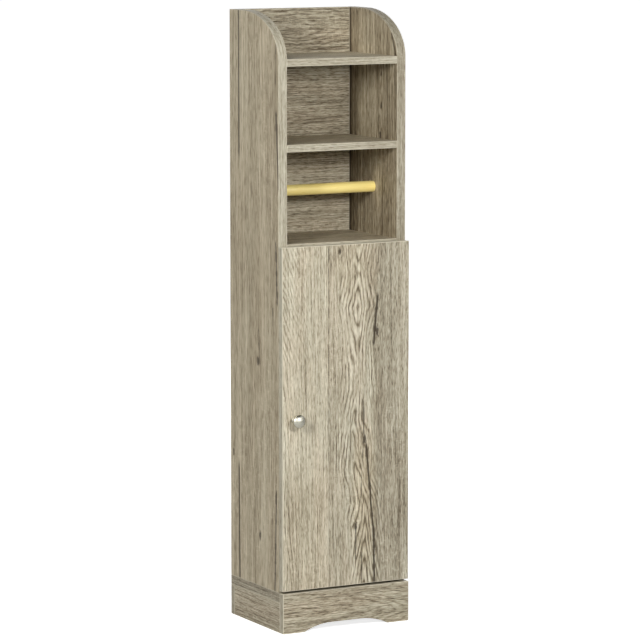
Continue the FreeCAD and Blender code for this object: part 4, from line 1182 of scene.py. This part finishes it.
# %% Turn the roll bar and the bumpers
rim_angle, bar_sides, eased_end = math.radians(60), 64, 0.0008
bar_length = bar_high.x - bar_low.x
bar_end = [(bar_radius - eased_end, 0.0), (bar_radius - 0.3 * eased_end, 0.3 * eased_end),
           (bar_radius, eased_end)]
far_end = [(radius, bar_length - distance) for radius, distance in reversed(bar_end)]
bar_profile = [(0, 0)] + bar_end + far_end + [(0, bar_length)]
bar_base = Vector((bar_low.x, bar_y, bar_z))
bar_mesh = turned_mesh("roll_bar_turned", bar_profile, bar_base, (1, 0, 0), bar_sides)

pads = bmesh.new()
for low, high in solids("door_bumpers"):
    radius, tall = (high.z - low.z) / 2, high.y - low.y
    pad_profile = [(0, 0), (radius, 0), (radius, 0.35 * tall), (0.93 * radius, 0.68 * tall),
                   (0.72 * radius, 0.9 * tall), (0.4 * radius, tall), (0, tall)]
    foot = Vector(((low.x + high.x) / 2, low.y, (low.z + high.z) / 2))
    pad = turned_mesh("pad", pad_profile, foot, (0, 1, 0))
    pads.from_mesh(pad)
    bpy.data.meshes.remove(pad)
pad_mesh = bpy.data.meshes.new("door_bumpers_turned")
pads.to_mesh(pad_mesh)
pads.free()

for mesh, finish, node, body, slot in ((bar_mesh, pine_bar, "roll_bar", "bar", "pine_bar"),
                                       (pad_mesh, bumper, "door_bumpers", "door", "bumper")):
    mesh.materials.append(finish)
    mesh.shade_smooth()
    mesh.set_sharp_from_angle(angle=rim_angle)
    stand_for(new_piece(node + "_turned", mesh), node, body)

# %% [markdown]
# The pieces that stay as the joiner drew them only need a finish: hinge leaves and pins, the catch, the
# corner blocks, the thin back and the hidden dowels and bolts. Their material slot is simply given the
# finish.

# %% Finish the pieces that stay as they are
corner_blocks = [end + side + "corner_block" for side in ("left_", "right_")
                 for end in ("front_", "back_")]
hinge_pieces = [height + piece for height in ("upper_hinge_", "lower_hinge_")
                for piece in ("frame_leaf", "door_leaf", "pin")]
kept = {
    satin_nickel: hinge_pieces,
    zinc_plate: ["cam_bolts", "knob_screw", "catch_pole_plates", "catch_screws", "strike_plate",
                 "strike_screw"],
    beech: corner_blocks + ["wood_dowels"],
    hardboard: ["lower_back_panel"],
    catch_plastic: ["catch_housing"],
    magnet: ["catch_magnet"],
}
for finish, nodes in kept.items():
    for node in nodes:
        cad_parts[node].material_slots[0].material = finish
print(sum(len(nodes) for nodes in kept.values()), "pieces finished")

# %% [markdown]
# The studio is plain: a pale floor and a white surround. The surround plays three parts. The camera sees it
# white. As a lamp it is weak, or the niches would lose their shade. And the metal mirrors it as a real
# studio looks: bright walls, a dark ceiling and a greyer floor, because metal that mirrors only white looks
# like plaster. The Light Path node tells the three apart.

# %% White surround
def looked_at(tree):
    """1 for what the camera sees directly or through glass; and 1 for what it sees in a mirror."""
    rays = put(tree, "ShaderNodeLightPath").outputs
    seen = calc(tree, "MAXIMUM", rays["Is Camera Ray"], rays["Is Transmission Ray"])
    return seen, calc(tree, "MULTIPLY", rays["Is Glossy Ray"], calc(tree, "SUBTRACT", 1.0, seen))


world = bpy.data.worlds.new("white_surround")
world.use_nodes = True
bpy.context.scene.world = world
surround_light, mirrored_ceiling = 0.01, 0.06
t = world.node_tree
seen, mirrored = looked_at(t)
sideways, _, height = split(t, put(t, "ShaderNodeTexCoord").outputs["Generated"])
wall_band = calc(t, "MULTIPLY", ease(t, height, -0.10, 0.02), ease(t, height, 0.80, 0.55))
bright_left = calc(t, "MULTIPLY_ADD", ease(t, sideways, 1.0, 0.4), 1.10, 0.35)
studio = calc(t, "MULTIPLY_ADD", wall_band, bright_left, mirrored_ceiling)
strength = calc(t, "MULTIPLY_ADD", mirrored, studio, calc(t, "MAXIMUM", seen, surround_light))
t.links.new(strength, t.nodes["Background"].inputs["Strength"])
t.nodes["Background"].inputs["Color"].default_value = (1, 1, 1, 1)
print("surround has", len(t.nodes), "nodes")

# %% [markdown]
# The floor is a large matt sheet that also glows where the camera or a mirror looks at it, so that it is
# white and still keeps the cabinet's shadow. The glow grows with the distance, and the far floor melts into
# the surround. Seen from below the floor is clear, so that the underside of the cabinet can be looked at
# too.

# %% Pale floor
floor_finish = bpy.data.materials.new("pale_floor")
floor_finish.use_nodes = True
t = floor_finish.node_tree
t.nodes.remove(t.nodes["Principled BSDF"])
matt = put(t, "ShaderNodeBsdfDiffuse", {"Color": (0.9, 0.9, 0.9, 1)}).outputs[0]
distance = vec(t, "LENGTH", put(t, "ShaderNodeTexCoord").outputs["Object"])
seen, mirrored = looked_at(t)
seen_glow = calc(t, "MULTIPLY_ADD", ease(t, distance, 0.3, 1.3), 0.22, 0.80)
mirrored_glow = calc(t, "MULTIPLY_ADD", ease(t, distance, 0.8, 6.0), 0.40, 0.05)
shown = calc(t, "MULTIPLY_ADD", seen, seen_glow, calc(t, "MULTIPLY", mirrored, mirrored_glow))
glow = put(t, "ShaderNodeEmission", {"Strength": shown}).outputs[0]
both = put(t, "ShaderNodeAddShader", {0: matt, 1: glow}).outputs[0]
from_below = put(t, "ShaderNodeNewGeometry").outputs["Backfacing"]
clear = put(t, "ShaderNodeBsdfTransparent").outputs[0]
one_way = put(t, "ShaderNodeMixShader", {0: from_below, 1: both, 2: clear}).outputs[0]
t.links.new(one_way, t.nodes["Material Output"].inputs["Surface"])
floor_half = 30.0
floor_corners = [(x * floor_half, y * floor_half, 0) for x, y in ((-1, -1), (1, -1), (1, 1), (-1, 1))]
floor_mesh = bpy.data.meshes.new("floor")
floor_mesh.from_pydata(floor_corners, [], [(0, 1, 2, 3)])
floor_mesh.materials.append(floor_finish)
floor = new_piece("floor", floor_mesh)
print("floor is", 2 * floor_half, "metres wide")

# %% [markdown]
# A lamp or a camera is easiest to place as a photographer would: so far round, so far up, so far away, and
# pointed at the middle of the cabinet. Three soft boxes stand in front and on the left, where the strongest
# is, and one behind, so that the back can be seen as well. The long lens keeps the verticals nearly
# parallel.

# %% Lamps and camera
def stand(name, data, target, round_angle, up_angle, distance):
    """Sets a lamp or a camera round the target and points it there; 0 is in front, plus is to the right."""
    a, e = math.radians(round_angle), math.radians(up_angle)
    away = Vector((math.sin(a) * math.cos(e), -math.cos(a) * math.cos(e), math.sin(e)))
    stood = bpy.data.objects.new(name, data)
    bpy.context.scene.collection.objects.link(stood)
    stood.location = Vector(target) + away * distance
    stood.rotation_euler = away.to_track_quat("Z", "Y").to_euler()
    return stood


lamp_target = (0, 0, 0.75)
for name, watts, wide, tall, round_angle, up_angle, distance in (
        ("left_soft_box", 46.0, 0.43, 0.74, -56, 15, 3.0),
        ("high_left_soft_box", 17.0, 0.8, 0.8, -80, 58, 3.0),
        ("front_soft_box", 19.4, 0.3, 0.33, -1, 13, 1.9),
        ("back_soft_box", 26.0, 0.8, 0.8, 135, 8, 3.0)):
    lamp = bpy.data.lights.new(name, "AREA")
    lamp.shape, lamp.size, lamp.size_y, lamp.energy = "RECTANGLE", wide, tall, watts
    stand(name, lamp, lamp_target, round_angle, up_angle, distance)

lens = bpy.data.cameras.new("portrait_camera")
lens.lens, lens.sensor_width, lens.clip_end = 197.9, 36.0, 100.0
camera_target, camera_round, camera_up, camera_distance = (-0.0501, -0.08145, 0.5079), -28.06, 7.40, 5.645
camera = stand("portrait_camera", lens, camera_target, camera_round, camera_up, camera_distance)
bpy.context.scene.camera = camera
bpy.context.scene.view_settings.view_transform = "Standard"
print("camera at", [round(v, 3) for v in camera.location])
